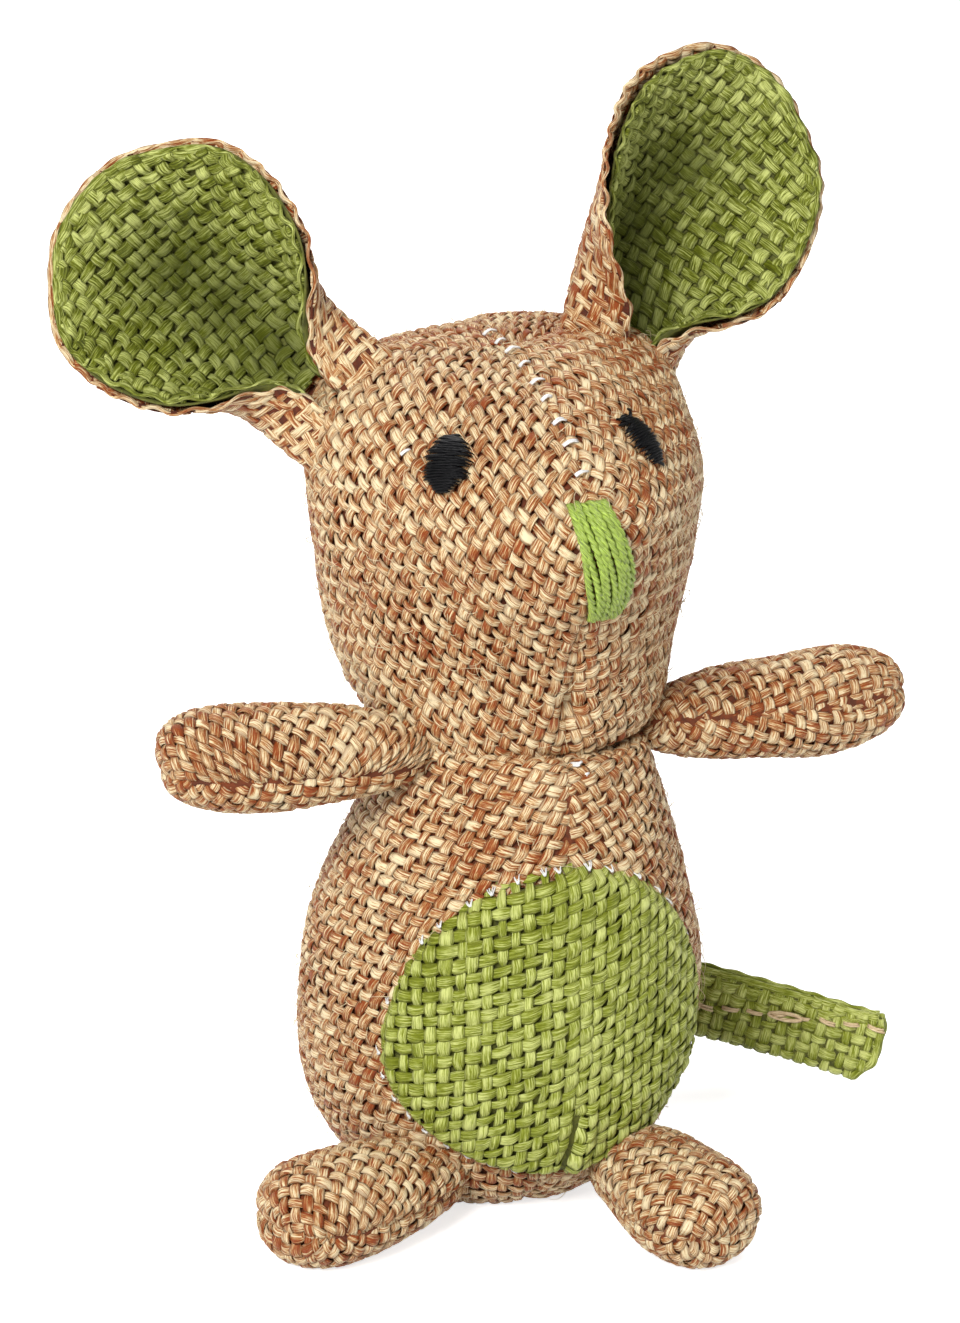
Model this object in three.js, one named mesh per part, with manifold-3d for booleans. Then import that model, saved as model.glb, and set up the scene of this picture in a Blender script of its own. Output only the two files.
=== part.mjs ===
// A catnip mouse of coarse woven cloth, sitting upright, in millimetres.
// It faces -Y, its own left side is +X, and the origin is the middle of the flat base of its body.
import * as THREE from 'three';
import { mergeVertices } from 'three/addons/utils/BufferGeometryUtils.js';
import Module from 'manifold-3d';

const wasm = await Module();
wasm.setup();

// Cloth, clearances and cutters
const clothThickness = 1.2;
const clearance = 0.3;
const floorCut = 0.5;
const overrun = 6;
const cutterSize = 200;

// Body, a pear that leans forward to the neck
const bodyHeight = 53;
const bodyWidth = 45;
const bodyDepth = 41;
const neckForward = 6;
const bodyWidthShares = [0.42, 0.6, 0.78, 0.925, 0.995, 0.975, 0.9, 0.785, 0.66, 0.6, 0.58];
const bodyDepthShares = [0.42, 0.62, 0.82, 0.97, 1, 0.985, 0.93, 0.85, 0.765, 0.7, 0.66];
const bodyFrontRoundness = 1.9;
const bodyBackRoundness = 2.1;

// Head, a two-panel wedge with a keel that runs down to the snout
const headHeight = 43.5;
const headShift = 0.5;
const headSunk = 1;
const headWidth = 42;
const headFront = 25.5;
const headBack = 24;
const headTiltDegrees = -6;
const headWidthShares = [0.56, 0.68, 0.79, 0.88, 0.94, 0.985, 1, 0.975, 0.87, 0.62, 0];
const headFrontShares = [0.42, 0.46, 0.52, 0.58, 0.725, 0.92, 1, 0.8, 0.49, 0.16, -0.31];
const headBackShares = [0.44, 0.52, 0.69, 0.85, 0.96, 1, 0.98, 0.9, 0.77, 0.58, 0.3294];
const headRoundnessShares = [1, 0.97, 0.93, 0.88, 0.82, 0.78, 0.77, 0.8, 0.88, 0.96, 1];
const headRoundness = 2;
const headBackRoundness = 2.1;
const headMiddleShare = 0.56;

// Eyes and nose, sewn in floss on the head
const eyeWidth = 4.6;
const eyeTall = 6.2;
const eyeRise = 0.9;
const eyeHeight = 34.8;
const eyeSideDegrees = { left: 29, right: 41 };
const noseWidth = 6;
const noseTall = 13;
const noseHeight = 24.8;
const noseRise = 1.1;
const noseStrandRise = 0.5;
const noseStrands = 8;

// Belly patch, sewn on the front of the body
const patchHalfDegrees = 53;
const patchUpperTall = 19.5;
const patchLowerTall = 15;
const patchMiddleHeight = 22;
const patchSideDegrees = 1;
const patchRoundness = 2.1;

// Arms, sewn into the neck seam
const armLength = { left: 32, right: 30 };
const armWidth = 12;
const armThickness = 11.8;
const armRootSide = 11;
const armRootForward = 9;
const armRootHeight = { left: 53, right: 52 };
const armSweepDegrees = { left: 2, right: 2 };
const armRiseDegrees = { left: 3, right: 1 };
const armShares = [0.3, 0.42, 0.58, 0.74, 0.88, 0.97, 1, 0.95, 0.8, 0.52, 0];

// Legs, sewn under the belly
const legLength = { left: 26, right: 25.5 };
const legWidth = 14.5;
const legThickness = 12.2;
const legRoot = {
  left: { side: 9, forward: 10, turnDegrees: -79 },
  right: { side: -8, forward: 12, turnDegrees: -158 },
};
const legShares = [0.36, 0.44, 0.56, 0.7, 0.84, 0.95, 1, 0.97, 0.83, 0.55, 0];

// Every limb has two panels, so a seam sinks into its front and its back
const limbSeamShare = 0.09;
const limbSeamDegrees = 24;
const limbSeamDropDegrees = 22;

// Ears, a green lining in a larger tan back, curled to a flattened tube at the root
const earLength = { left: 35, right: 32.5 };
const earWidth = { left: 30, right: 30 };
const earRim = 0.6;
const earTipDrop = 4;
const earSunk = 3;
const earCurlDegrees = 170;
const earWidthShares = [0.95, 0.94, 0.94, 0.95, 0.98, 1, 1, 0.98, 0.93, 0.84, 0.7];
const earCurlShares = [1, 0.98, 0.88, 0.66, 0.48, 0.37, 0.3, 0.25, 0.2, 0.16, 0.12];
const earPinchShares = [1, 0.95, 0.75, 0.4, 0.12, 0, 0, 0, 0, 0, 0];
const earPinchWideShare = 0.35;
const earPinchFlatShare = 0.5;
const earLiningStartShare = 0.17;
const earPlace = {
  left: { side: 14.5, back: 6, height: 40.5, leanDegrees: 31, turnDegrees: 8, pitchDegrees: 4 },
  right: { side: -19.3, back: 8, height: 40.6, leanDegrees: -46, turnDegrees: -6, pitchDegrees: -12 },
};

// Tail, a folded strap on its edge that bends round from the seam at the back
const tailWidth = 9;
const tailThickness = 2.4;
const tailFoldGap = 0.4;
const tailReach = 52;
const tailBow = 6;
const tailDrop = 10;
const tailRootHeight = 15;
const tailRootBack = 18;
const tailReachShares = [-0.02, 0.01, 0.1, 0.26, 0.45, 0.64, 0.83, 1];
const tailBowShares = [-0.5, 0.45, 1, 1.05, 0.75, 0.25, -0.5, -1.45];
const tailDropShares = [0, 0, 0.04, 0.14, 0.32, 0.56, 0.8, 1];

// Pouch of catnip in the middle of the stuffing
const pouchWidth = 20;
const pouchTall = 20;
const pouchDepth = 9;
const pouchHem = 0.8;
const pouchHeight = 27;

// How far each sewn joint gives, in degrees from rest
const nodRange = [-6, 6];
const armRange = [-30, 12];
const legRange = [-12, 12];
const earRange = [-12, 12];
const tailRange = [-20, 20];

// Facet counts
const ringSides = 28;
const ringSteps = 16;
const innerSides = 16;
const innerSteps = 9;
const limbSides = 14;
const limbSteps = 11;
const limbInnerSides = 8;
const limbInnerSteps = 7;
const patchSides = 24;
const patchRings = 4;
const earColumns = 12;
const earRows = 8;
const noseRows = 6;
const tailSteps = 14;
const pouchCells = 6;

const clothBrown = new THREE.MeshStandardMaterial({ color: 0xc0955f, roughness: 0.9, metalness: 0 });
const clothGreen = new THREE.MeshStandardMaterial({ color: 0x93aa3a, roughness: 0.85, metalness: 0 });
const flossGreen = new THREE.MeshStandardMaterial({ color: 0x86b848, roughness: 0.55, metalness: 0 });
const flossBlack = new THREE.MeshStandardMaterial({ color: 0x121116, roughness: 0.5, metalness: 0 });
const fibreWhite = new THREE.MeshStandardMaterial({ color: 0xf0ede4, roughness: 1, metalness: 0 });
const pouchCloth = new THREE.MeshStandardMaterial({ color: 0xd9d2bd, roughness: 0.95, metalness: 0 });

const mouse = new THREE.Group();
mouse.name = 'catnip_mouse';
const headGroup = new THREE.Group();
headGroup.position.set(headShift, -neckForward, bodyHeight - headSunk);
headGroup.rotation.y = THREE.MathUtils.degToRad(headTiltDegrees);
mouse.add(headGroup);
mouse.updateMatrixWorld(true);

// Reads a table of evenly spaced shares at a place from 0 to 1, on a smooth curve.
function shareAt(shares, place) {
  const points = shares.map((share, index) => new THREE.Vector2(index, share));
  return new THREE.SplineCurve(points).getPoint(place).y;
}

// Spaces steps closer together at both ends, where a form rounds over.
function eased(place) {
  return (1 - Math.cos(Math.PI * place)) / 2;
}

function signedPower(value, power) {
  return Math.sign(value) * Math.abs(value) ** power;
}

// A level loop round a point. Its front and back halves have their own reach and roundness.
function levelLoop(middle, form, angle) {
  const facesFront = Math.cos(angle) >= 0;
  const reach = facesFront ? form.front : form.back;
  const power = 2 / (facesFront ? form.frontRoundness : form.backRoundness);
  const sideways = form.side * signedPower(Math.sin(angle), power);
  const forward = reach * signedPower(Math.cos(angle), power);
  return new THREE.Vector3(middle.x + sideways, middle.y - forward, middle.z);
}

// A point on the body: angle from the front, place from base to neck, lift off the cloth.
function bodyPoint(angle, place, lift) {
  const height = (bodyHeight + floorCut) * eased(place) - floorCut;
  const reach = bodyDepth / 2 * shareAt(bodyDepthShares, place) + lift;
  const form = {
    side: bodyWidth / 2 * shareAt(bodyWidthShares, place) + lift,
    front: reach,
    back: reach,
    frontRoundness: bodyFrontRoundness,
    backRoundness: bodyBackRoundness,
  };
  const middle = new THREE.Vector3(0, -neckForward * (height / bodyHeight) ** 2, height);
  middle.z += lift * (2 * eased(place) - 1);
  return levelLoop(middle, form, angle);
}

// A point on the head, in the head's own frame, whose origin is the middle of the neck.
function headPoint(angle, place, lift) {
  const front = headFront * shareAt(headFrontShares, place);
  const back = headBack * shareAt(headBackShares, place);
  const middleBack = THREE.MathUtils.lerp(-front, back, headMiddleShare);
  const form = {
    side: Math.max(headWidth / 2 * shareAt(headWidthShares, place) + lift, 0),
    front: Math.max(middleBack + front + lift, 0),
    back: Math.max(back - middleBack + lift, 0),
    frontRoundness: headRoundness * shareAt(headRoundnessShares, place),
    backRoundness: headBackRoundness,
  };
  const middle = new THREE.Vector3(0, middleBack, headHeight * eased(place));
  middle.z += lift * (2 * eased(place) - 1);
  return levelLoop(middle, form, angle);
}

// Joins loops of points into one closed form. A loop of one point is a pole.
function loft(loops) {
  const corners = [];
  const face = (a, b, c) => corners.push(...a.toArray(), ...b.toArray(), ...c.toArray());
  const middleOf = (loop) => loop.reduce((sum, point) => sum.add(point), new THREE.Vector3())
    .divideScalar(loop.length);
  for (let row = 0; row + 1 < loops.length; row += 1) {
    const [lower, upper] = [loops[row], loops[row + 1]];
    const sides = Math.max(lower.length, upper.length);
    for (let side = 0; side < sides; side += 1) {
      const next = (side + 1) % sides;
      const [a, b] = lower.length > 1 ? [lower[side], lower[next]] : [lower[0], lower[0]];
      const [c, d] = upper.length > 1 ? [upper[side], upper[next]] : [upper[0], upper[0]];
      if (lower.length > 1) face(a, b, d);
      if (upper.length > 1) face(a, d, c);
    }
  }
  const capped = [loops[0], loops[loops.length - 1]];
  capped.forEach((loop, end) => {
    if (loop.length === 1) return;
    const middle = middleOf(loop);
    loop.forEach((point, side) => {
      const next = loop[(side + 1) % loop.length];
      if (end === 0) face(middle, next, point);
      else face(middle, point, next);
    });
  });
  const geometry = new THREE.BufferGeometry();
  geometry.setAttribute('position', new THREE.Float32BufferAttribute(corners, 3));
  return mergeVertices(geometry);
}

// A loft of the body or head at a lift off its cloth. An open end runs on past the neck.
function standingForm(pointAt, lift, sides, steps, openBelow, openAbove) {
  const loops = [];
  for (let step = 0; step <= steps; step += 1) {
    const loop = [];
    for (let side = 0; side < sides; side += 1) {
      loop.push(pointAt(side / sides * 2 * Math.PI, step / steps, lift));
    }
    const isPole = loop[0].distanceTo(loop[Math.floor(sides / 2)]) < clearance;
    loops.push(isPole ? [loop[0]] : loop);
  }
  const raised = (loop, rise) => loop.map((point) => point.clone().setZ(point.z + rise));
  if (openBelow) loops.unshift(raised(loops[0], -overrun));
  if (openAbove) loops.push(raised(loops[loops.length - 1], overrun));
  return loft(loops);
}

const bodyForm = (lift) => standingForm(bodyPoint, lift, ringSides, ringSteps, false, false);
const bodyHollow = (lift) => standingForm(bodyPoint, lift, innerSides, innerSteps, false, true);
const headForm = (lift) => standingForm(headPoint, lift, ringSides, ringSteps, false, false);
const headHollow = (lift) => standingForm(headPoint, lift, innerSides, innerSteps, true, false);

// A sheet between two surfaces over a grid, closed round its edge.
function sheet(columns, rows, lowerAt, upperAt) {
  const gridOf = (pointAt) => {
    const grid = [];
    for (let row = 0; row <= rows; row += 1) {
      const line = [];
      for (let column = 0; column <= columns; column += 1) {
        line.push(pointAt(column / columns, row / rows));
      }
      grid.push(line);
    }
    return grid;
  };
  const lower = gridOf(lowerAt);
  const upper = gridOf(upperAt);
  const corners = [];
  const quad = (a, b, c, d) => {
    [a, b, c, a, c, d].forEach((point) => corners.push(...point.toArray()));
  };
  for (let row = 0; row < rows; row += 1) {
    for (let column = 0; column < columns; column += 1) {
      const cell = (grid) => [
        grid[row][column], grid[row][column + 1], grid[row + 1][column + 1], grid[row + 1][column],
      ];
      quad(...cell(upper));
      quad(...cell(lower).reverse());
    }
    quad(lower[row][0], upper[row][0], upper[row + 1][0], lower[row + 1][0]);
    quad(lower[row + 1][columns], upper[row + 1][columns], upper[row][columns], lower[row][columns]);
  }
  for (let column = 0; column < columns; column += 1) {
    quad(lower[0][column + 1], upper[0][column + 1], upper[0][column], lower[0][column]);
    quad(lower[rows][column], upper[rows][column], upper[rows][column + 1], lower[rows][column + 1]);
  }
  const geometry = new THREE.BufferGeometry();
  geometry.setAttribute('position', new THREE.Float32BufferAttribute(corners, 3));
  return mergeVertices(geometry);
}

// Makes a solid for cutting and joining, placed by a matrix where one is given.
function solidOf(geometry, matrix) {
  const bare = geometry.clone();
  bare.deleteAttribute('normal');
  bare.deleteAttribute('uv');
  const merged = mergeVertices(bare);
  if (matrix) merged.applyMatrix4(matrix);
  return new wasm.Manifold(new wasm.Mesh({
    numProp: 3,
    vertProperties: merged.attributes.position.array,
    triVerts: new Uint32Array(merged.index.array),
  }));
}

// The one piece of cloth that is left when a cut also frees small scraps.
function largestPiece(solid) {
  const pieces = solid.decompose();
  return pieces.reduce((best, piece) => (piece.volume() > best.volume() ? piece : best));
}

function meshOf(name, solid, material) {
  const mesh = largestPiece(solid).getMesh();
  const geometry = new THREE.BufferGeometry();
  geometry.setAttribute('position', new THREE.BufferAttribute(mesh.vertProperties, 3));
  geometry.setIndex(new THREE.BufferAttribute(mesh.triVerts, 1));
  geometry.computeVertexNormals();
  const node = new THREE.Mesh(geometry, material);
  node.name = name;
  return node;
}

// A large block that starts at a plane and fills the far side of it.
function blockBeyond(axis, start, sign) {
  const block = new THREE.BoxGeometry(cutterSize, cutterSize, cutterSize);
  const shift = new THREE.Vector3();
  shift[axis] = start + sign * cutterSize / 2;
  block.translate(shift.x, shift.y, shift.z);
  return solidOf(block);
}

function turnAbout(point, axis, degrees) {
  const there = new THREE.Matrix4().makeTranslation(point);
  const turn = new THREE.Matrix4().makeRotationAxis(axis, THREE.MathUtils.degToRad(degrees));
  const back = new THREE.Matrix4().makeTranslation(point.clone().negate());
  return there.multiply(turn).multiply(back);
}

// The angles at which a moving piece is tried against what is near it.
function swingSteps([low, high]) {
  return [low, (low + high) / 2, high];
}

// Cuts from a moving piece, in its own frame, all that it would meet in its swing.
function cutClear(solid, frame, hinge, obstacles) {
  let cleared = solid;
  for (const degrees of swingSteps(hinge.range)) {
    const turned = turnAbout(hinge.point, hinge.axis, degrees).multiply(frame).invert();
    for (const obstacle of obstacles) {
      const place = turned.clone().multiply(obstacle.frame);
      cleared = cleared.subtract(solidOf(obstacle.geometry, place));
    }
  }
  return cleared;
}

const world = new THREE.Matrix4();
const headFrame = headGroup.matrixWorld.clone();
const nodHinge = {
  point: new THREE.Vector3(0, -neckForward, bodyHeight + clearance / 2),
  axis: new THREE.Vector3(1, 0, 0),
  range: nodRange,
};
const bodyObstacle = { geometry: bodyForm(clearance), frame: world };
const patchObstacle = { geometry: patchForm(clearance), frame: world };
const headObstacles = [nodRange[0], 0, nodRange[1]].map((degrees) => ({
  geometry: headForm(clearance),
  frame: turnAbout(nodHinge.point, nodHinge.axis, degrees).multiply(headFrame),
}));

// Body: two halves of cloth, sewn down the front and the back, round the stuffing
function addBody() {
  const shell = solidOf(bodyForm(0))
    .subtract(solidOf(bodyHollow(-clothThickness)).intersect(blockBeyond('z', clothThickness, 1)))
    .intersect(blockBeyond('z', 0, 1));
  const left = shell.intersect(blockBeyond('x', clearance / 2, 1));
  const right = shell.intersect(blockBeyond('x', -clearance / 2, -1));
  mouse.add(meshOf('body_cover_left', left, clothBrown));
  mouse.add(meshOf('body_cover_right', right, clothBrown));

  const filling = solidOf(bodyHollow(-clothThickness - clearance))
    .intersect(blockBeyond('z', clothThickness + clearance, 1))
    .intersect(blockBeyond('z', bodyHeight, -1))
    .subtract(solidOf(pouchForm(clearance)));
  const lower = filling.intersect(blockBeyond('z', pouchHeight - clearance / 2, -1));
  const upper = filling.intersect(blockBeyond('z', pouchHeight + clearance / 2, 1));
  mouse.add(meshOf('body_stuffing_lower', lower, fibreWhite));
  mouse.add(meshOf('body_stuffing_upper', upper, fibreWhite));
  mouse.add(meshOf('catnip_pouch', solidOf(pouchForm(0)), pouchCloth));
}

// A small sewn bag: crowned in the middle and drawn in to a hem all round.
function pouchForm(grow) {
  const side = (sign) => (u, v) => {
    const [across, up] = [2 * u - 1, 2 * v - 1];
    const crown = (1 - across ** 4) * (1 - up ** 4);
    const deep = (pouchHem + (pouchDepth - pouchHem) * crown) / 2 + grow;
    const x = across * (pouchWidth / 2 + grow);
    const z = up * (pouchTall / 2 + grow);
    return new THREE.Vector3(x, -neckForward / 4 + sign * deep, pouchHeight + z);
  };
  return sheet(pouchCells, pouchCells, side(1), side(-1));
}

// The place from base to neck or crown whose height is the one given.
function placeAt(height, lowest, tall) {
  return Math.acos(1 - 2 * (height - lowest) / tall) / Math.PI;
}

// The patch is an oval that follows the belly: loops out under it, round its edge and back over it.
function patchForm(grow) {
  const halfAngle = THREE.MathUtils.degToRad(patchHalfDegrees) + grow / (bodyWidth / 2);
  const sideAngle = THREE.MathUtils.degToRad(patchSideDegrees);
  const loopAt = (ring, lift) => {
    const loop = [];
    for (let side = 0; side < patchSides; side += 1) {
      const turn = side / patchSides * 2 * Math.PI;
      const out = ring / patchRings;
      const up = signedPower(Math.sin(turn), 2 / patchRoundness) * out;
      const angle = sideAngle + halfAngle * signedPower(Math.cos(turn), 2 / patchRoundness) * out;
      const height = patchMiddleHeight + up * ((up > 0 ? patchUpperTall : patchLowerTall) + grow);
      loop.push(bodyPoint(angle, placeAt(height, -floorCut, bodyHeight + floorCut), lift));
    }
    return ring === 0 ? [loop[0]] : loop;
  };
  const rings = Array.from({ length: patchRings + 1 }, (_, ring) => ring);
  const under = rings.map((ring) => loopAt(ring, -clothThickness));
  const over = rings.map((ring) => loopAt(ring, clearance + clothThickness + grow)).reverse();
  return loft([...under, ...over]);
}

function addPatch() {
  const patch = solidOf(patchForm(0)).subtract(solidOf(bodyForm(clearance)));
  mouse.add(meshOf('belly_patch', patch, clothGreen));
}

// Head: two panels that meet in the keel, open at the neck, round the stuffing
function addHead() {
  const fit = (solid) => cutClear(solid, headFrame, nodHinge, [bodyObstacle]);
  const shell = fit(solidOf(headForm(0)).subtract(solidOf(headHollow(-clothThickness))));
  const left = shell.intersect(blockBeyond('x', clearance / 2, 1));
  const right = shell.intersect(blockBeyond('x', -clearance / 2, -1));
  headGroup.add(meshOf('head_cover_left', left, clothBrown));
  headGroup.add(meshOf('head_cover_right', right, clothBrown));
  const filling = solidOf(headHollow(-clothThickness - clearance)).intersect(blockBeyond('z', 0, 1));
  headGroup.add(meshOf('head_stuffing', fit(filling), fibreWhite));
}

// An eye: a padded oval of satin stitch that follows the cloth under it
function addEye(side) {
  const sign = side === 'left' ? 1 : -1;
  const angle = sign * THREE.MathUtils.degToRad(eyeSideDegrees[side]);
  const place = placeAt(eyeHeight, 0, headHeight);
  const centre = headPoint(angle, place, 0);
  const outward = headPoint(angle, place, clearance).sub(centre).normalize();
  const oval = new THREE.Shape();
  oval.absellipse(0, 0, eyeWidth / 2, eyeTall / 2, 0, 2 * Math.PI);
  const column = new THREE.ExtrudeGeometry(oval, {
    depth: 2 * overrun, steps: 1, curveSegments: 9, bevelEnabled: false,
  });
  column.translate(0, 0, -overrun);
  const upright = new THREE.Matrix4().lookAt(outward, new THREE.Vector3(), new THREE.Vector3(0, 0, 1));
  upright.setPosition(centre);
  const oval3d = solidOf(column, upright)
    .intersect(solidOf(headForm(clearance + eyeRise)))
    .subtract(solidOf(headForm(clearance)));
  headGroup.add(meshOf(`eye_${side}`, oval3d, flossBlack));
}

// The angle from the front at which the head's surface is a given distance to the side.
function headAngleAt(across, place) {
  const half = headWidth / 2 * shareAt(headWidthShares, place);
  const roundness = headRoundness * shareAt(headRoundnessShares, place);
  return Math.sign(across) * Math.asin((Math.abs(across) / half) ** (roundness / 2));
}

// Nose: strands of floss side by side, wound over the keel of the snout
function addNose() {
  const surface = (liftAt) => (u, v) => {
    const height = noseHeight + noseTall * (v - 1 / 2);
    const place = placeAt(height, 0, headHeight);
    const narrowing = Math.sqrt(1 - (2 * v - 1) ** 2 / 3);
    const across = noseWidth * (u - 1 / 2) * narrowing;
    return headPoint(headAngleAt(across, place), place, liftAt(u, v));
  };
  const strandLift = (u, v) => {
    const strand = Math.abs(Math.sin(Math.PI * noseStrands * u));
    const crown = Math.sqrt(Math.max(1 - (2 * v - 1) ** 2, 0));
    return clearance + noseRise / 2 + noseRise / 2 * crown + noseStrandRise * strand;
  };
  const pad = sheet(2 * noseStrands, noseRows, surface(() => -noseRise), surface(strandLift));
  headGroup.add(meshOf('nose', solidOf(pad).subtract(solidOf(headForm(clearance))), flossGreen));
}

// A limb lies along +X from its root. Its seams sink in at the front and the back.
function limbForm(limb, lift, sides, steps, open) {
  const loops = [];
  const seamAt = THREE.MathUtils.degToRad(limbSeamDropDegrees);
  const seamWide = THREE.MathUtils.degToRad(limbSeamDegrees);
  for (let step = 0; step <= steps; step += 1) {
    const place = step / steps;
    const share = shareAt(limb.shares, place);
    const loop = [];
    for (let side = 0; side < sides; side += 1) {
      const angle = side / sides * 2 * Math.PI;
      const fromSeam = Math.min(
        Math.abs(angle - seamAt - Math.PI),
        Math.abs(angle + seamAt - 2 * Math.PI),
        Math.abs(angle + seamAt),
      );
      const sink = 1 - limbSeamShare * Math.exp(-((fromSeam / seamWide) ** 2));
      const wide = (limb.width / 2 * share + lift) * sink;
      const tall = (limb.thickness / 2 * share + lift) * sink;
      const along = limb.length * eased(place) + lift * (2 * eased(place) - 1);
      loop.push(new THREE.Vector3(along, wide * Math.cos(angle), tall * Math.sin(angle)));
    }
    const isThin = share * limb.thickness / 2 + lift < clearance;
    if (isThin && loops.length === 0) continue;
    loops.push(isThin ? [new THREE.Vector3(loop[0].x, 0, 0)] : loop);
    if (isThin) break;
  }
  if (open) loops.unshift(loops[0].map((point) => point.clone().setX(point.x - overrun)));
  return loft(loops);
}

// A limb is a cloth cover, open where it is sewn in, round its stuffing.
function addLimb(name, limb, frame, hinge, obstacles, standsOnFloor) {
  const group = new THREE.Group();
  frame.decompose(group.position, group.quaternion, group.scale);
  const floor = solidOf(
    new THREE.BoxGeometry(cutterSize, cutterSize, cutterSize),
    frame.clone().invert().multiply(new THREE.Matrix4().makeTranslation(0, 0, -cutterSize / 2)),
  );
  const fit = (solid) => {
    const cleared = cutClear(solid, frame, hinge, obstacles);
    return standsOnFloor ? cleared.subtract(floor) : cleared;
  };
  const outer = solidOf(limbForm(limb, 0, limbSides, limbSteps, false));
  const lining = limbForm(limb, -clothThickness, limbInnerSides, limbInnerSteps, true);
  const filling = limbForm(limb, -clothThickness - clearance, limbInnerSides, limbInnerSteps, false);
  group.add(meshOf(`${name}_cover`, fit(outer.subtract(solidOf(lining))), clothBrown));
  group.add(meshOf(`${name}_stuffing`, fit(solidOf(filling)), fibreWhite));
  mouse.add(group);
}

function frameOf(position, rotation) {
  const turn = new THREE.Quaternion().setFromEuler(rotation);
  return new THREE.Matrix4().compose(position, turn, new THREE.Vector3(1, 1, 1));
}

function addArm(side) {
  const sign = side === 'left' ? 1 : -1;
  const root = new THREE.Vector3(sign * armRootSide, -armRootForward, armRootHeight[side]);
  const sweep = THREE.MathUtils.degToRad(armSweepDegrees[side]);
  const rise = THREE.MathUtils.degToRad(armRiseDegrees[side]);
  const turn = sign > 0 ? sweep : Math.PI - sweep;
  const frame = frameOf(root, new THREE.Euler(0, -rise, turn, 'ZYX'));
  const hinge = {
    point: root,
    axis: new THREE.Vector3(0, -sign, 0),
    range: armRange,
  };
  const arm = { length: armLength[side], width: armWidth, thickness: armThickness, shares: armShares };
  addLimb(`arm_${side}`, arm, frame, hinge, [bodyObstacle, ...headObstacles], false);
}

function addLeg(side) {
  const { side: across, forward, turnDegrees } = legRoot[side];
  const root = new THREE.Vector3(across, -forward, legThickness / 2 - floorCut);
  const frame = frameOf(root, new THREE.Euler(0, 0, THREE.MathUtils.degToRad(turnDegrees)));
  const hinge = { point: root, axis: new THREE.Vector3(0, 0, 1), range: legRange };
  const leg = { length: legLength[side], width: legWidth, thickness: legThickness, shares: legShares };
  addLimb(`leg_${side}`, leg, frame, hinge, [bodyObstacle, patchObstacle], true);
}

// A point on the ear: across and up it, a lift forwards off its cloth, and a growth of its edge.
function earSkin(side, across, up, lift, grow) {
  const flat = (a, b) => {
    const half = earWidth[side] / 2 * shareAt(earWidthShares, b) + grow;
    const curl = THREE.MathUtils.degToRad(earCurlDegrees) * shareAt(earCurlShares, b);
    const pinch = shareAt(earPinchShares, b);
    const wide = half / curl * (1 + earPinchWideShare * pinch);
    const deep = half / curl * (1 - earPinchFlatShare * pinch);
    const tip = earLength[side] * b + grow * b ** 4 - earTipDrop * a * a * b * b;
    return new THREE.Vector3(wide * Math.sin(curl * a), -deep * (1 - Math.cos(curl * a)), tip - earSunk);
  };
  const nudge = 1 / 64;
  const low = Math.min(up, 1 - nudge);
  const right = flat(across + nudge, low).sub(flat(across - nudge, low));
  const rise = flat(across, low + nudge).sub(flat(across, low));
  const outward = right.cross(rise).normalize();
  return flat(across, up).addScaledVector(outward, lift);
}

function addEar(side) {
  const { side: across, back, height, leanDegrees, turnDegrees, pitchDegrees } = earPlace[side];
  const toRadians = THREE.MathUtils.degToRad;
  const local = frameOf(
    new THREE.Vector3(across, back, height),
    new THREE.Euler(toRadians(pitchDegrees), toRadians(leanDegrees), toRadians(turnDegrees), 'ZYX'),
  );
  const group = new THREE.Group();
  local.decompose(group.position, group.quaternion, group.scale);
  headGroup.add(group);
  const frame = headFrame.clone().multiply(local);
  const hinge = {
    point: new THREE.Vector3().setFromMatrixPosition(frame),
    axis: new THREE.Vector3(1, 0, 0).transformDirection(frame),
    range: earRange,
  };
  const obstacle = { geometry: headForm(clearance), frame: headFrame };
  const fit = (solid) => cutClear(solid, frame, hinge, [obstacle]);
  const liningUp = (v) => THREE.MathUtils.lerp(earLiningStartShare, 1, v);
  const backUp = (v) => (v === 0 ? 0 : liningUp((v * (earRows + 1) - 1) / earRows));
  const face = (lift, grow, upAt) => (u, v) => earSkin(side, 2 * u - 1, upAt(v), lift, grow);
  const innerCloth = fit(solidOf(sheet(
    earColumns, earRows, face(0, 0, liningUp), face(clothThickness, 0, liningUp),
  )));
  const outerCloth = fit(solidOf(sheet(
    earColumns, earRows + 1,
    face(-clearance - clothThickness, earRim, backUp), face(-clearance, earRim, backUp),
  )));
  group.add(meshOf(`ear_${side}_lining`, innerCloth, clothGreen));
  group.add(meshOf(`ear_${side}_back`, outerCloth, clothBrown));
}

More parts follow.
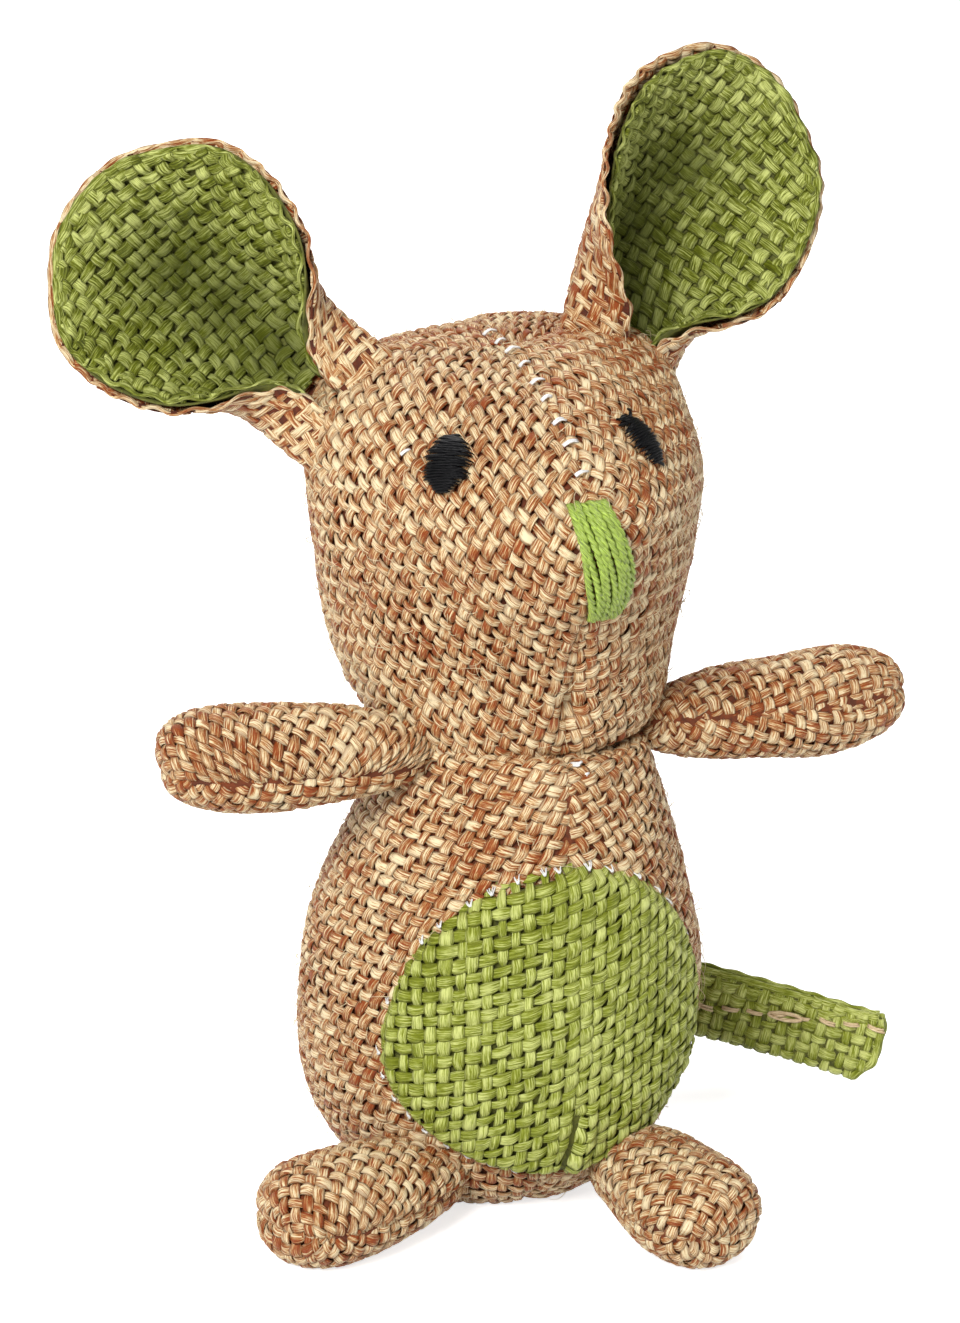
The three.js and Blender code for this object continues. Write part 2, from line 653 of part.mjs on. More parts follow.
// Tail: a strip folded along its lower edge, with the fold open along the top
function addTail() {
  const points = tailReachShares.map((share, index) => new THREE.Vector3(
    tailReach * share,
    tailBow * tailBowShares[index],
    -tailDrop * tailDropShares[index],
  ));
  const path = new THREE.CatmullRomCurve3(points);
  const strip = (low, high, thickness) => {
    const face = (sign) => (u, v) => {
      const centre = path.getPoint(u);
      const ahead = path.getTangent(u);
      const outward = new THREE.Vector3(ahead.y, -ahead.x, 0).normalize();
      const height = THREE.MathUtils.lerp(low, high, v);
      return centre.addScaledVector(outward, sign * thickness / 2).setZ(centre.z + height);
    };
    return solidOf(sheet(tailSteps, 1, face(-1), face(1)));
  };
  const root = new THREE.Vector3(0, tailRootBack, tailRootHeight);
  const frame = new THREE.Matrix4().makeTranslation(root);
  const hinge = { point: root, axis: new THREE.Vector3(0, 0, 1), range: tailRange };
  const half = tailWidth / 2;
  const fold = strip(-half, half, tailThickness)
    .subtract(strip(-half + clothThickness, half + overrun, tailFoldGap));
  const group = new THREE.Group();
  group.position.copy(root);
  group.add(meshOf('tail', cutClear(fold, frame, hinge, [bodyObstacle]), clothGreen));
  mouse.add(group);
}

addBody();
addPatch();
addHead();
addEye('left');
addEye('right');
addNose();
addEar('left');
addEar('right');
addArm('left');
addArm('right');
addLeg('left');
addLeg('right');
addTail();

export default mouse;
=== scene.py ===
"""Looks of a sewn catnip mouse: loose plain weave laid thread by thread, floss, stitches and filling."""

import math

import bmesh
import bpy
import numpy as np
from mathutils import Matrix, Vector


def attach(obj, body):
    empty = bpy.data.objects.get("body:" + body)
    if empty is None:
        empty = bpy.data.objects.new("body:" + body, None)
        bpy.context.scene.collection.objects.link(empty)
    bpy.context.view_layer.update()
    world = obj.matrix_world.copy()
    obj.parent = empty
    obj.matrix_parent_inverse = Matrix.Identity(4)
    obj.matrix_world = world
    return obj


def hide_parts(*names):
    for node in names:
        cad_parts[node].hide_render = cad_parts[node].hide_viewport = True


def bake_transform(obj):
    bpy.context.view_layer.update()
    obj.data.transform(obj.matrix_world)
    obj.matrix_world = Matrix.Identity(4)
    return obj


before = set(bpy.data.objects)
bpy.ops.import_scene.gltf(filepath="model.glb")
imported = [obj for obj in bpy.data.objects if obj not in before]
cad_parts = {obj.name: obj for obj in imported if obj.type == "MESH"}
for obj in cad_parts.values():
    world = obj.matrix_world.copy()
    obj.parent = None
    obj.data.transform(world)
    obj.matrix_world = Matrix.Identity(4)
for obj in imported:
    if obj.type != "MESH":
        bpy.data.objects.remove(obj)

bl_info = {
    "name": "Catnip mouse",
    "version": (1, 0, 0),
    "blender": (4, 5, 0),
    "location": "View3D > Sidebar > Catnip mouse",
    "description": "Woven covers, embroidery, stitches and filling of a sewn catnip mouse",
    "category": "Object",
}

# The forms are worked out in millimetres, as the sewn pieces were measured, and written in metres.
MM = 0.001
# What keeps a sum from dividing by nothing, the least half size of a form, and lengths past any of its own.
TINY = 1e-9
LEAST = 0.01
LONGEST = 60.0
FAR = 9.0
# How far out a spot is guessed before it is settled onto a form.
GUESS = 20
# Added to the mark of each thread of the second way, so that a material can tell the ways apart.
WAY_MARK = 1000

# How yarn, floss and loose fibre look: scales of their noise, its share of the tone, and relief in metres.
YARN = dict(
    along=0.5, thread_step=7.3, detail=4.0, noise_roughness=0.7, cloud_along=0.35, cloud_step=3.1, cloud=0.4,
    # The range across a thread, in millimetres, over which painted shade darkens its sides towards the gap
    # tone.
    region=0.17, region_scale=70.0, stops=(0.12, 0.45, 0.85), side_shade_range=(0.32, 0.62),
    relief=0.7, relief_depth=0.0006, roughness=0.48, specular=0.25,
)
# sides is how far painted shade mixes each yarn's sides towards the gap tone.
BROWN = dict(low=0.67, high=0.9, fibre=7.0, sides=0.5, ways=0.02)
GREEN = dict(low=0.58, high=0.94, fibre=8.5, sides=0.4, ways=-0.02)
FLOSS = dict(along=0.7, across=14.0, slant=3.0, detail=3.0, stops=(0.3, 0.7), relief=0.6, relief_depth=0.0003)
WAD = dict(
    detail=4.0, distortion=1.2, stops=(0.35, 0.7), relief=0.6, relief_depth=0.0005,
    roughness=0.9, specular=0.5,
)
# How unevenly the cloth is woven: shifts as shares of the spacing, swells as shares of a thread's own size.
UNEVEN = dict(
    shift=0.06, plump=0.13, plump_range=(-0.26, 0.18), swell=0.12, stray=0.045,
    drifts=((0.055, 6.1), (0.045, 2.3)), over_swell=0.17, breath=0.05, breath_wave=1.9,
    lean=0.2, lean_wave=3.1, bulge=0.3, flat_top=1.5,
)

# The stuffed forms, in millimetres and degrees. Shares run from the bottom up, or from a limb's root out.
BODY = dict(
    height=53.0, width=45.0, depth=41.0, neck_forward=6.0, floor_cut=0.5, front_power=1.9, back_power=2.1,
    heart=(0, -1, 26),
    width_shares=(0.42, 0.6, 0.78, 0.925, 0.995, 0.975, 0.9, 0.785, 0.66, 0.6, 0.58),
    depth_shares=(0.42, 0.62, 0.82, 0.97, 1, 0.985, 0.93, 0.85, 0.765, 0.7, 0.66),
)
HEAD = dict(
    height=43.5, width=42.0, front=25.5, back=24.0, middle_share=0.56, power=2.0, back_power=2.1,
    width_shares=(0.56, 0.68, 0.79, 0.88, 0.94, 0.985, 1, 0.975, 0.87, 0.62, 0),
    front_shares=(0.42, 0.46, 0.52, 0.58, 0.725, 0.92, 1, 0.8, 0.49, 0.16, -0.31),
    back_shares=(0.44, 0.52, 0.69, 0.85, 0.96, 1, 0.98, 0.9, 0.77, 0.58, 0.3294),
    power_shares=(1, 0.97, 0.93, 0.88, 0.82, 0.78, 0.77, 0.8, 0.88, 0.96, 1),
    heart=(0, -1, 20), place=(0.5, -6.0, 52.0), tilt=-6.0,
)
LIMB_SHARES = {
    "arm": (0.3, 0.42, 0.58, 0.74, 0.88, 0.97, 1, 0.95, 0.8, 0.52, 0),
    "leg": (0.36, 0.44, 0.56, 0.7, 0.84, 0.95, 1, 0.97, 0.83, 0.55, 0),
}
LIMBS = {
    "arm_left": dict(
        kind="arm", length=32.0, width=12.0, thickness=11.8, root=(11, -9, 53), rise=3, turn=2, seam=1.0,
    ),
    "arm_right": dict(
        kind="arm", length=30.0, width=12.0, thickness=11.8, root=(-11, -9, 52), rise=1, turn=178, seam=-1.4,
    ),
    "leg_left": dict(
        kind="leg", length=26.0, width=14.5, thickness=12.2, root=(9, -10, 5.6), rise=0, turn=-79, seam=-1.2,
    ),
    "leg_right": dict(
        kind="leg", length=25.5, width=14.5, thickness=12.2, root=(-8, -12, 5.6), rise=0, turn=-158,
        seam=-0.6,
    ),
}
# An ear is a sheet whose curl opens from its root to its rim, with a bowl hollowed into it.
EAR = dict(
    tip_drop=4.0, sunk=3.0, curl=170.0, wide_share=0.35, flat_share=0.5, corner=6.0,
    width_shares=(0.95, 0.94, 0.94, 0.95, 0.98, 1, 1, 0.98, 0.93, 0.84, 0.7),
    curl_shares=(1, 0.98, 0.88, 0.66, 0.48, 0.37, 0.3, 0.25, 0.2, 0.16, 0.12),
    pinch_shares=(1, 0.95, 0.75, 0.4, 0.12, 0, 0, 0, 0, 0, 0),
    hollow=5.5, hollow_shares=(0, 0.3, 0.68, 0.92, 1, 0.96, 0.84, 0.66, 0.42, 0.18, 0), hollow_power=1.2,
    rims=((0.35, 0.85), (1.45, 1.0)), rolled=0.12, roll_width=1.1, roll_start=0.35, tuck=-0.35, past=1.15,
    # The ear lining's yarn is a darker copy of the green yarn, by the four shares that end the next line:
    # painted shade.
    ground_in=0.1, ground_top=0.15, join=((0, 0, 0), (0, 0, 7)), painted_shade_dims=(0.42, 0.68, 0.98, 0.5),
    # Painted shade in the lining's cup: its most, its reach, and shares of the ear's length where its middles
    # lie.
    shade=0.85, shade_reach=7.0, shade_shares=(0.2, 0.42, 0.62),
)
EAR_LAYERS = {
    "lining": dict(
        slot="green_cloth", start_share=0.03, grow=0.0, lift=0.45, crimp_share=1.0,
        ground_start=1.6, ground_lift=0.05, ground=0.2,
    ),
    "back": dict(
        slot="brown_cloth", start_share=-0.13, grow=0.25, lift=-0.75, crimp_share=0.6,
        ground_start=0.3, ground_lift=-0.74, ground=0.04, bias=12, shift=0.0,
    ),
}
EARS = {
    "ear_left": dict(
        length=35.0, width=30.0, place=(14.5, 6, 40.5), lean=31, turn=8, pitch=4, bias=-7, shift=0.8,
    ),
    "ear_right": dict(
        length=32.5, width=30.0, place=(-19.3, 8, 40.6), lean=-46, turn=-6, pitch=-12, bias=-8, shift=0.0,
    ),
}
# The patch is an oval on the body's front, drawn in by one dart near its lower edge.
PATCH = dict(
    half_degrees=53.0, upper=19.5, lower=15.0, middle=22.0, side_degrees=1.0, power=2.1,
    start=(0.4, -30, 22.0), bias=21, skew=-20, arm_share=0.47, lift=1.05, hem=1.9,
    hem_past=0.9, hem_width=2.0, tuck=1.0, flat=(0.041, 0.038), area=0.00124,
    ground_share=0.97, ground_lift=0.42, ground=0.25, ground_floor=0.2,
)
DART = dict(
    side=1.6, slant=0.12, height=12.0, depth=1.5, width=0.5, fold=0.6, aside=1.2, spread=0.8,
    top=17.0, fade=4.0,
)
POUCH = dict(
    width=20.0, tall=20.0, depth=9.0, hem=0.8, height=27.0, lump_share=0.06, drawn_share=0.04, cuts=23,
    dark_share=0.4, light_share=0.62, weave_scale=1600.0,
)
# The tail is a strap folded along its lower edge. Its shares run from the root to the end.
TAIL = dict(
    width=9.0, thickness=2.4, reach=52.0, bow=6.0, drop=10.0, root=(0, 18, 15),
    reach_shares=(-0.02, 0.01, 0.1, 0.26, 0.45, 0.64, 0.83, 1),
    bow_shares=(-0.5, 0.45, 1, 1.05, 0.75, 0.25, -0.5, -1.45),
    drop_shares=(0, 0, 0.04, 0.14, 0.32, 0.56, 0.8, 1),
    sheet=0.9, slant=0.8, fold_end=3.2, lift=0.1, rims=(0.2, 1.2), rim_lift=0.15, wavy=0.4,
    bias=1.5, tuck=-0.2, side_rim_end=0.3, end_rim=0.35, ground_lift=-0.1, ground=0.2, ground_in=0.1,
)
# How the upper corner of the tail's end curls over, and how its two edges close on each other.
TAIL_CURL = dict(
    low=1.2, tall=3.4, run=4.5, out=1.2, back=0.8, up=0.7, closed_share=0.5, close_low=2.0, close_tall=2.5,
)
# The floss of the eyes and nose. A tuft is a loose end, from one flat spot beside the eye to another.
EYE = dict(
    rows=24, radius=0.2, ragged=0.14, crown=0.55, lift=0.3, ends=0.15, taper=0.85,
    least_share=0.06, length_range=(-0.06, 0.3), tuft=(0.24, 0.16), tuft_lift=0.35, tuft_rise=0.3,
    tuft_taper=0.5, flat_share=0.9,
)
EYES = {
    "eye_left": dict(
        side=29, width=3.4, tall=6.2, height=34.8, sign=1,
        tufts=((-0.7, 2.2, -1.9, 3.0), (-0.9, 2.0, -2.2, 2.3), (0.1, 2.5, 0.9, 3.5)),
    ),
    "eye_right": dict(side=39, width=4.6, tall=6.2, height=34.8, sign=-1),
}
NOSE = dict(
    width=5.8, tall=13.4, height=24.8, shift_shares=(-0.07, -0.02, 0.06, 0.14, 0.2, 0.24, 0.25),
    half_shares=(0.34, 0.39, 0.4, 0.4, 0.385, 0.35, 0.27), bulge_shares=(0.1, 0.35, 0.5, 0.85, 1.0, 0.4),
    layers=((0.0, 9), (0.6, 8)), radius=0.235, ply=0.16, turns=8, root=-0.5, rise=1.3, bulge=0.45,
    sway=0.14, sways=8, ragged=0.12, smooth=1.4, points=52, blunt=0.4, start=0.6,
)
# The thread along a sheet's rim, the stitches and the stray fibres.
RIM = dict(rise_share=1.4, wide_share=0.84, swell_share=0.24, wander=5.0)
STITCH = dict(points=7, apart=1.5, ragged=0.08)
HEAD_SEAM = dict(
    count=9, first=34, step=8.6, uneven=0.8, half=(0.6, 0.15, 0.1), longer=0.2, sunk=0.25,
    rise=0.36, radius=0.13,
)
SPECK = dict(place=(-15.0, -10, 36), ends=((-0.5, 0, -0.2), (0.5, 0, 0.3)), rise=0.2, radius=0.11)
PATCH_SEAM = dict(
    count=42, uneven=0.25, missing_share=0.3, reach_shares=(1.005, 1.03), longer=0.02, fork=0.35,
    lift=0.5, sunk=0.2, rise=0.2, radius=0.07,
)
NECK_LOOPS = dict(
    places=((-3.4, -18.2, 52.0), (-1.6, -18.6, 51.7), (0.4, -19.0, 52.5), (1.4, -18.9, 51.3)),
    run=(0.9, -0.1, 0.4), uneven=0.5, out=(0.0, -1, 0.2), rise=0.7, radius=0.16,
)
TAIL_SEAM = dict(
    start=3.0, spare=1.0, step=2.9, length=1.9, place_shares=(0.15, 0.28, 0.5, 0.75, 0.95),
    levels=(1.1, 0.6, 3.2, 5.2, 7.4), uneven=0.12, slant=0.2, lift=0.35, rise=0.35, radius=0.16,
    loop_shares=(0.74, 0.79),
)
LOOP = dict(
    turn=(-0.6, 4 * math.pi - 1.3), middle_share=0.9, long_share=1.05, slim=0.22, widen=0.05,
    lift=0.25, rise=0.3, radius=0.17,
)
FIBRES = dict(
    count=700, lowest=1.5, highest=dict(head=43, body=50), reach=(0.8, 2.4), rise=(0.15, 0.7), arch=2.6,
    bend=0.6, radius=0.05, taper=0.6,
)
# The stage, in metres and degrees; the camera was fitted to the view that the mouse is shown from.
FLOOR = dict(half=3.0, glow=0.7)
WORLD_LIGHT = 0.38
LAMP_AIM = (0, 0, 0.06)
LAMPS = (
    ("key", (-0.55, -0.65, 0.6), 0.35, 13.0),
    ("fill", (0.7, -0.5, 0.35), 0.6, 1.2),
    ("rim", (0.1, 0.7, 0.7), 0.6, 6.0),
)
CAMERA = dict(around=-20, rise=16, roll=2, lens=108.84, place=(-0.14432, -0.38786, 0.17683))
# How far the cloth's middle and the filling lie from a form's surface, and how a seam draws the cloth in.
CLOTH_LIFT = -0.4
SEAM = dict(pucker=0.35, wave=1.7, slant=0.6, fall=1.6, past=0.8)
PINCH = dict(depth=1.7, half=1.3, height=6.3, tall=2.8, filling_share=1.7)
STUFFING = dict(
    head=dict(lift=-0.85, around=144, up=72),
    body=dict(lift=-0.85, around=72, up=48),
    limb=dict(lift=-0.82, around=40, up=28),
)
STUFFING_FLOOR = 0.3
# Where cloth starts on the front and back of a form, how its two thread ways lie there on each side,
# in degrees, and where it ends at the neck.
HEAD_CLOTH = dict(
    biases={1: (43, -13), -1: (43, -13)}, starts={True: (14, -16, 20), False: (11, 16, 22)},
    middle=0, neck_middle=-1, neck_radius=7, neck_way=-1, neck_height=9, tuck=1.1, seam=(0.5, 1.5),
)
BODY_CLOTH = dict(
    biases={1: (19, 5), -1: (7, 17)}, starts={True: (16, -14, 28), False: (12, 15, 28)},
    middle=-2, neck_middle=-6, neck_radius=9, neck_way=1, neck_height=44, tuck=1.2, seam=(0.5, 1.2),
)
LIMB_CLOTH = dict(bias=4, open_end=0.2, tuck=0.9, seam=(0.6, 1.1), join=((1, 0, 0), (7, 0, 0)))
# Half the cells of each cloth's grid, two to a thread's spacing.
CELLS = dict(cover=64, limb=36, ear=34, patch=40, tail=46)
# How far past its edge a cloth is still laid, so that a thread can be read there.
SLACK = dict(cover=9, small=4)
SIDE_SEAM = math.radians(112)
# Where the head and the tail meet the body that carries them.
NECK_JOIN = ("body", (0, -6 * MM, 51 * MM), (0, -6 * MM, 58 * MM))
TAIL_JOIN = ("body", (0, 17 * MM, 15 * MM), (6 * MM, 21 * MM, 15 * MM))


def spline(shares, place):
    """A smooth curve through evenly spaced shares, read at places from 0 to 1."""
    table = np.array(shares, float)
    last = len(table) - 1
    along = np.clip(np.asarray(place, float), 0, 1) * last
    start = np.clip(np.floor(along).astype(int), 0, last - 1)
    step = along - start
    before, first, second, after = (table[np.clip(start + k, 0, last)] for k in (-1, 0, 1, 2))
    out, into = (second - before) / 2, (after - first) / 2
    curve = (2 * first - 2 * second + out + into) * step**3
    return curve + (3 * second - 3 * first - 2 * out - into) * step**2 + out * step + first


def turned(pitch, lean, turn):
    """The matrix that pitches about X, leans about Y and turns about Z, in degrees."""
    a, b, c = np.radians([pitch, lean, turn])
    about_x = np.array([[1, 0, 0], [0, np.cos(a), -np.sin(a)], [0, np.sin(a), np.cos(a)]])
    about_y = np.array([[np.cos(b), 0, np.sin(b)], [0, 1, 0], [-np.sin(b), 0, np.cos(b)]])
    about_z = np.array([[np.cos(c), -np.sin(c), 0], [np.sin(c), np.cos(c), 0], [0, 0, 1]])
    return about_z @ about_y @ about_x


def unit(vectors):
    """Vectors brought to a length of one."""
    return vectors / np.maximum(np.linalg.norm(vectors, axis=-1, keepdims=True), TINY)


def split(points):
    """The x, y and z of points, each as an array of its own."""
    return points[..., 0], points[..., 1], points[..., 2]


def powered(value, power):
    """A power of a value that keeps the value's sign."""
    return np.sign(value) * np.abs(value) ** power


def travelled(points):
    """How far along a run of points each of them lies."""
    return np.concatenate([[0], np.cumsum(np.linalg.norm(np.diff(points, axis=0), axis=-1))])


def hump(value, width):
    """A smooth rise from 0 to 1 and back, centred on zero."""
    return np.exp(-((value / width) ** 2))


def ease(value):
    """Runs smoothly from 0 to 1 as the value does."""
    value = np.clip(value, 0, 1)
    return value * value * (3 - 2 * value)


def lumps(points):
    """Gentle unevenness of the stuffing under a cover, in millimetres."""
    x, y, z = split(points)
    broad = np.sin(x / 4.3 + 0.7 * np.sin(z / 5.1)) * np.sin(z / 4.7 + 0.9 * np.sin(y / 4.4 + 1))
    small = np.sin(x / 2.1 + y / 2.6 + 1.3) * np.sin(z / 2.3 - y / 3.1)
    return 0.32 * broad + 0.13 * small


class Frame:
    """Where a form stands: its own axes and its place on the mouse."""

    def __init__(self, turn=None, place=(0, 0, 0)):
        self.turn = np.eye(3) if turn is None else turn
        self.place = np.array(place, float)

    def out(self, points):
        """Points of the form's own axes, on the mouse."""
        return points @ self.turn.T + self.place

    def along(self, vectors):
        """Ways of the form's own axes, on the mouse."""
        return vectors @ self.turn.T


class Form:
    """A closed form that is seen whole from its middle, kept as its reach in each direction."""

    AROUND = 288
    UP = 144

    def __init__(self, inside, middle, longest, stand):
        self.middle, self.stand = np.array(middle, float), stand
        around = np.linspace(-np.pi, np.pi, self.AROUND + 1)
        up = np.linspace(-np.pi / 2, np.pi / 2, self.UP + 1)
        turn, rise = np.meshgrid(around, up, indexing="ij")
        ways = np.stack([np.cos(rise) * np.cos(turn), np.cos(rise) * np.sin(turn), np.sin(rise)], -1)
        low, high = np.zeros(turn.shape), np.full(turn.shape, float(longest))
        for _ in range(20):
            trial = (low + high) / 2
            held = inside(self.middle + ways * trial[..., None])
            low, high = np.where(held, trial, low), np.where(held, high, trial)
        self.table = low + lumps(self.middle + ways * low[..., None])

    def reach(self, ways):
        """How far the form goes from its middle along unit directions."""
        turn = (np.arctan2(ways[..., 1], ways[..., 0]) / np.pi + 1) / 2 * self.AROUND
        rise = (np.arcsin(np.clip(ways[..., 2], -1, 1)) / np.pi + 0.5) * self.UP
        i = np.clip(turn.astype(int), 0, self.AROUND - 1)
        j = np.clip(rise.astype(int), 0, self.UP - 1)
        s, t = turn - i, rise - j
        table = self.table
        near = table[i, j] * (1 - t) + table[i, j + 1] * t
        far = table[i + 1, j] * (1 - t) + table[i + 1, j + 1] * t
        return near * (1 - s) + far * s

    def settle(self, points):
        """Points moved onto the form, along the way from its middle."""
        ways = unit(points - self.middle)
        return self.middle + ways * self.reach(ways)[..., None]

    def gap(self, points):
        """How far points stand off the form."""
        offset = points - self.middle
        far = np.linalg.norm(offset, axis=-1)
        return far - self.reach(offset / np.maximum(far, TINY)[..., None])

    def normal(self, points, nudge=0.6):
        """The ways straight out of the form."""
        slopes = [self.gap(points + nudge * axis) - self.gap(points - nudge * axis) for axis in np.eye(3)]
        return unit(np.stack(slopes, -1))


class Cloth:
    """A flat square-set cloth and where each spot of it lies: points, normals and room to its edge."""

    def __init__(self, points, normals, room, known, step):
        self.points, self.normals, self.room, self.known, self.step = points, normals, room, known, step
        self.half = (points.shape[0] - 1) // 2

    def at(self, u, v):
        """Reads point, normal, room and whether it is known at flat places in millimetres."""
        i, j = u / self.step + self.half, v / self.step + self.half
        last = 2 * self.half - 1
        whole = (i >= 0) & (j >= 0) & (i < last + 1) & (j < last + 1)
        a, b = np.clip(i.astype(int), 0, last), np.clip(j.astype(int), 0, last)
        s, t = np.clip(i - a, 0, 1), np.clip(j - b, 0, 1)
        low = ((a, b, (1 - s) * (1 - t)), (a + 1, b, s * (1 - t)))
        corners = (*low, (a, b + 1, (1 - s) * t), (a + 1, b + 1, s * t))
        point = sum(self.points[x, y] * w[..., None] for x, y, w in corners)
        normal = unit(sum(self.normals[x, y] * w[..., None] for x, y, w in corners))
        room = sum(self.room[x, y] * w for x, y, w in corners)
        for x, y, _ in corners:
            whole = whole & self.known[x, y]
        return point, normal, room, whole


def drape(form, start, bias, half, step, room_at, slack, skew=0.0):
    """Lays woven cloth on a form from one spot: threads keep their spacing and only their angle gives."""
    size = 2 * half + 1
    grid = np.zeros((size, size, 3))
    known = np.zeros((size, size), bool)
    middle = form.settle(np.array(start, float))
    normal = form.normal(middle)
    right = unit(np.cross((0, 0, 1), normal))
    lift = np.cross(normal, right)
    angle, other = math.radians(bias), math.radians(bias + skew)
    first = math.cos(angle) * right + math.sin(angle) * lift
    second = math.cos(other) * lift - math.sin(other) * right
    grid[half, half], known[half, half] = middle, True
    ways = np.array([first, -first, second, -second])
    steps = np.array([(1, 0), (-1, 0), (0, 1), (0, -1)])
    before, here = np.repeat(middle[None], 4, 0) - ways * step, np.repeat(middle[None], 4, 0)
    held = np.ones(4, bool)
    for k in range(1, half + 1):
        ahead = here + unit(here - before) * step
        for _ in range(2):
            ahead = form.settle(ahead)
            ahead = here + unit(ahead - here) * step
        ahead = form.settle(ahead)
        before, here = here, ahead
        held &= room_at(here) > -slack
        spots = half + steps * k
        grid[spots[:, 0], spots[:, 1]], known[spots[:, 0], spots[:, 1]] = here, held
    signs = np.array([(1, 1), (-1, 1), (1, -1), (-1, -1)])
    for far in range(2, 2 * half + 1):
        count = np.arange(max(1, far - half), min(half, far - 1) + 1)
        i = half + (signs[:, :1] * count).ravel()
        j = half + (signs[:, 1:] * (far - count)).ravel()
        back_i, back_j = np.repeat(signs[:, 0], len(count)), np.repeat(signs[:, 1], len(count))
        ok = known[i - back_i, j] & known[i, j - back_j] & known[i - back_i, j - back_j]
        i, j, back_i, back_j = i[ok], j[ok], back_i[ok], back_j[ok]
        if not len(i):
            continue
        one, two = grid[i - back_i, j], grid[i, j - back_j]
        spot = one + two - grid[i - back_i, j - back_j]
        for _ in range(4):
            spot = form.settle(spot)
            p, q = spot - one, spot - two
            pp, qq, pq = (p * p).sum(-1), (q * q).sum(-1), (p * q).sum(-1)
            short_p, short_q = (step * step - pp) / 2, (step * step - qq) / 2
            whole = np.maximum(pp * qq - pq * pq, 0.12 * step**4)
            along_p, along_q = (short_p * qq - short_q * pq) / whole, (short_q * pp - short_p * pq) / whole
            shift = along_p[:, None] * p + along_q[:, None] * q
            length = np.linalg.norm(shift, axis=-1, keepdims=True)
            spot = spot + shift * np.minimum(1, 0.3 * step / np.maximum(length, TINY))
        spot = form.settle(spot)
        grid[i, j] = spot
        known[i, j] = room_at(spot) > -slack
    return Cloth(grid, form.normal(grid), room_at(grid), known, step)


def spread(place_at, room_at, middle, bias, half, step):
    """Lays cloth on a sheet that is known by flat places: place_at gives points and normals."""
    ticks = np.arange(-half, half + 1) * step
    u, v = np.meshgrid(ticks, ticks, indexing="ij")
    angle = math.radians(bias)
    across = middle[0] + u * math.cos(angle) - v * math.sin(angle)
    along = middle[1] + u * math.sin(angle) + v * math.cos(angle)
    points, normals = place_at(across, along)
    room = room_at(across, along)
    return Cloth(points, normals, room, room > -SLACK["small"], step)


class Threads:
    """The threads of one piece: rings are gathered first and skinned in one go."""

    def __init__(self, sides=6):
        self.sides = sides
        self.turn = np.arange(sides) * 2 * np.pi / sides
        self.rings, self.marks, self.runs = [], [], []

    def add(self, rings, marks):
        """Adds one thread: rings of points, with a mark (along, across, which) for each point."""
        if len(rings) < 3:
            return
        self.rings.append(rings)
        self.marks.append(marks)
        self.runs.append(len(rings))

    def strand(self, path, normals, wide, thick, which):
        """Adds a thread along a path, wide and thick given for each point of it or once."""
        path = np.asarray(path, float)
        ahead = unit(np.gradient(path, axis=0))
        side = unit(np.cross(ahead, normals))
        up = np.cross(side, ahead)
        wide, thick = np.broadcast_to(wide, len(path)), np.broadcast_to(thick, len(path))
        across, over = wide[:, None] * np.cos(self.turn), thick[:, None] * np.sin(self.turn)
        rings = path[:, None] + side[:, None] * across[..., None] + up[:, None] * over[..., None]
        marks = np.stack(np.broadcast_arrays(travelled(path)[:, None], across, float(which)), -1)
        self.add(rings, marks)

    def lay(self, stand, path, normals, radius, which):
        """Adds a round thread along a path that is given in a stand's own axes."""
        normals = np.broadcast_to(stand.along(normals), path.shape)
        self.strand(stand.out(path), normals, radius, radius, which)

    def piece(self, name, material, shade=None):
        """Skins all gathered rings as closed threads and gives the finished object."""
        rings, marks = np.concatenate(self.rings), np.concatenate(self.marks)
        # The shade marks are painted shade, which the yarn's material mixes in.
        shades = shade(rings) if shade else np.zeros(rings.shape[:2])
        bm = bmesh.new()
        bmesh.ops.create_grid(bm, x_segments=len(rings) - 1, y_segments=self.sides, size=1)
        layer = bm.verts.layers.float_vector.new("thread")
        dim = bm.verts.layers.float.new("shade")
        bm.verts.ensure_lookup_table()
        mesh = bpy.data.meshes.new(name)
        bm.to_mesh(mesh)
        flat = np.empty(len(mesh.vertices) * 3)
        mesh.vertices.foreach_get("co", flat)
        flat = flat.reshape(-1, 3)
        ring = np.rint((flat[:, 0] + 1) / 2 * (len(rings) - 1)).astype(int)
        side = np.rint((flat[:, 1] + 1) / 2 * self.sides).astype(int)
        lasts = np.cumsum(self.runs)[:-1] - 1
        order = np.lexsort((side, ring)).reshape(len(rings), self.sides + 1)
        verts = bm.verts
        rows = [[verts[k] for k in row] for row in order[np.concatenate([lasts, lasts + 1])]]
        between = []
        for row, after in zip(rows[: len(lasts)], rows[len(lasts):]):
            between += [e for one, two in zip(row, after) for e in one.link_edges if e.other_vert(one) is two]
        twins = {verts[int(one)]: verts[int(two)] for one, two in zip(order[:, -1], order[:, 0])}
        for vert, value in zip(verts, marks[ring, side % self.sides].tolist()):
            vert[layer] = value
        for vert, value in zip(verts, shades[ring, side % self.sides].tolist()):
            vert[dim] = value
        put(bm, rings[ring, side % self.sides])
        bmesh.ops.delete(bm, geom=between, context="EDGES")
        bmesh.ops.weld_verts(bm, targetmap=twins)
        ends = [e for e in bm.edges if e.is_boundary]
        bmesh.ops.holes_fill(bm, edges=ends, sides=self.sides)
        bmesh.ops.recalc_face_normals(bm, faces=bm.faces)
        return finished(bm, name, material, mesh)


def spots_of(bm):
    """The places of a bmesh's points, as an array."""
    return np.array([vert.co[:] for vert in bm.verts])


def put(bm, points):
    """Moves a bmesh's points to places given in millimetres."""
    for vert, place in zip(bm.verts, (points * MM).tolist()):
        vert.co = place


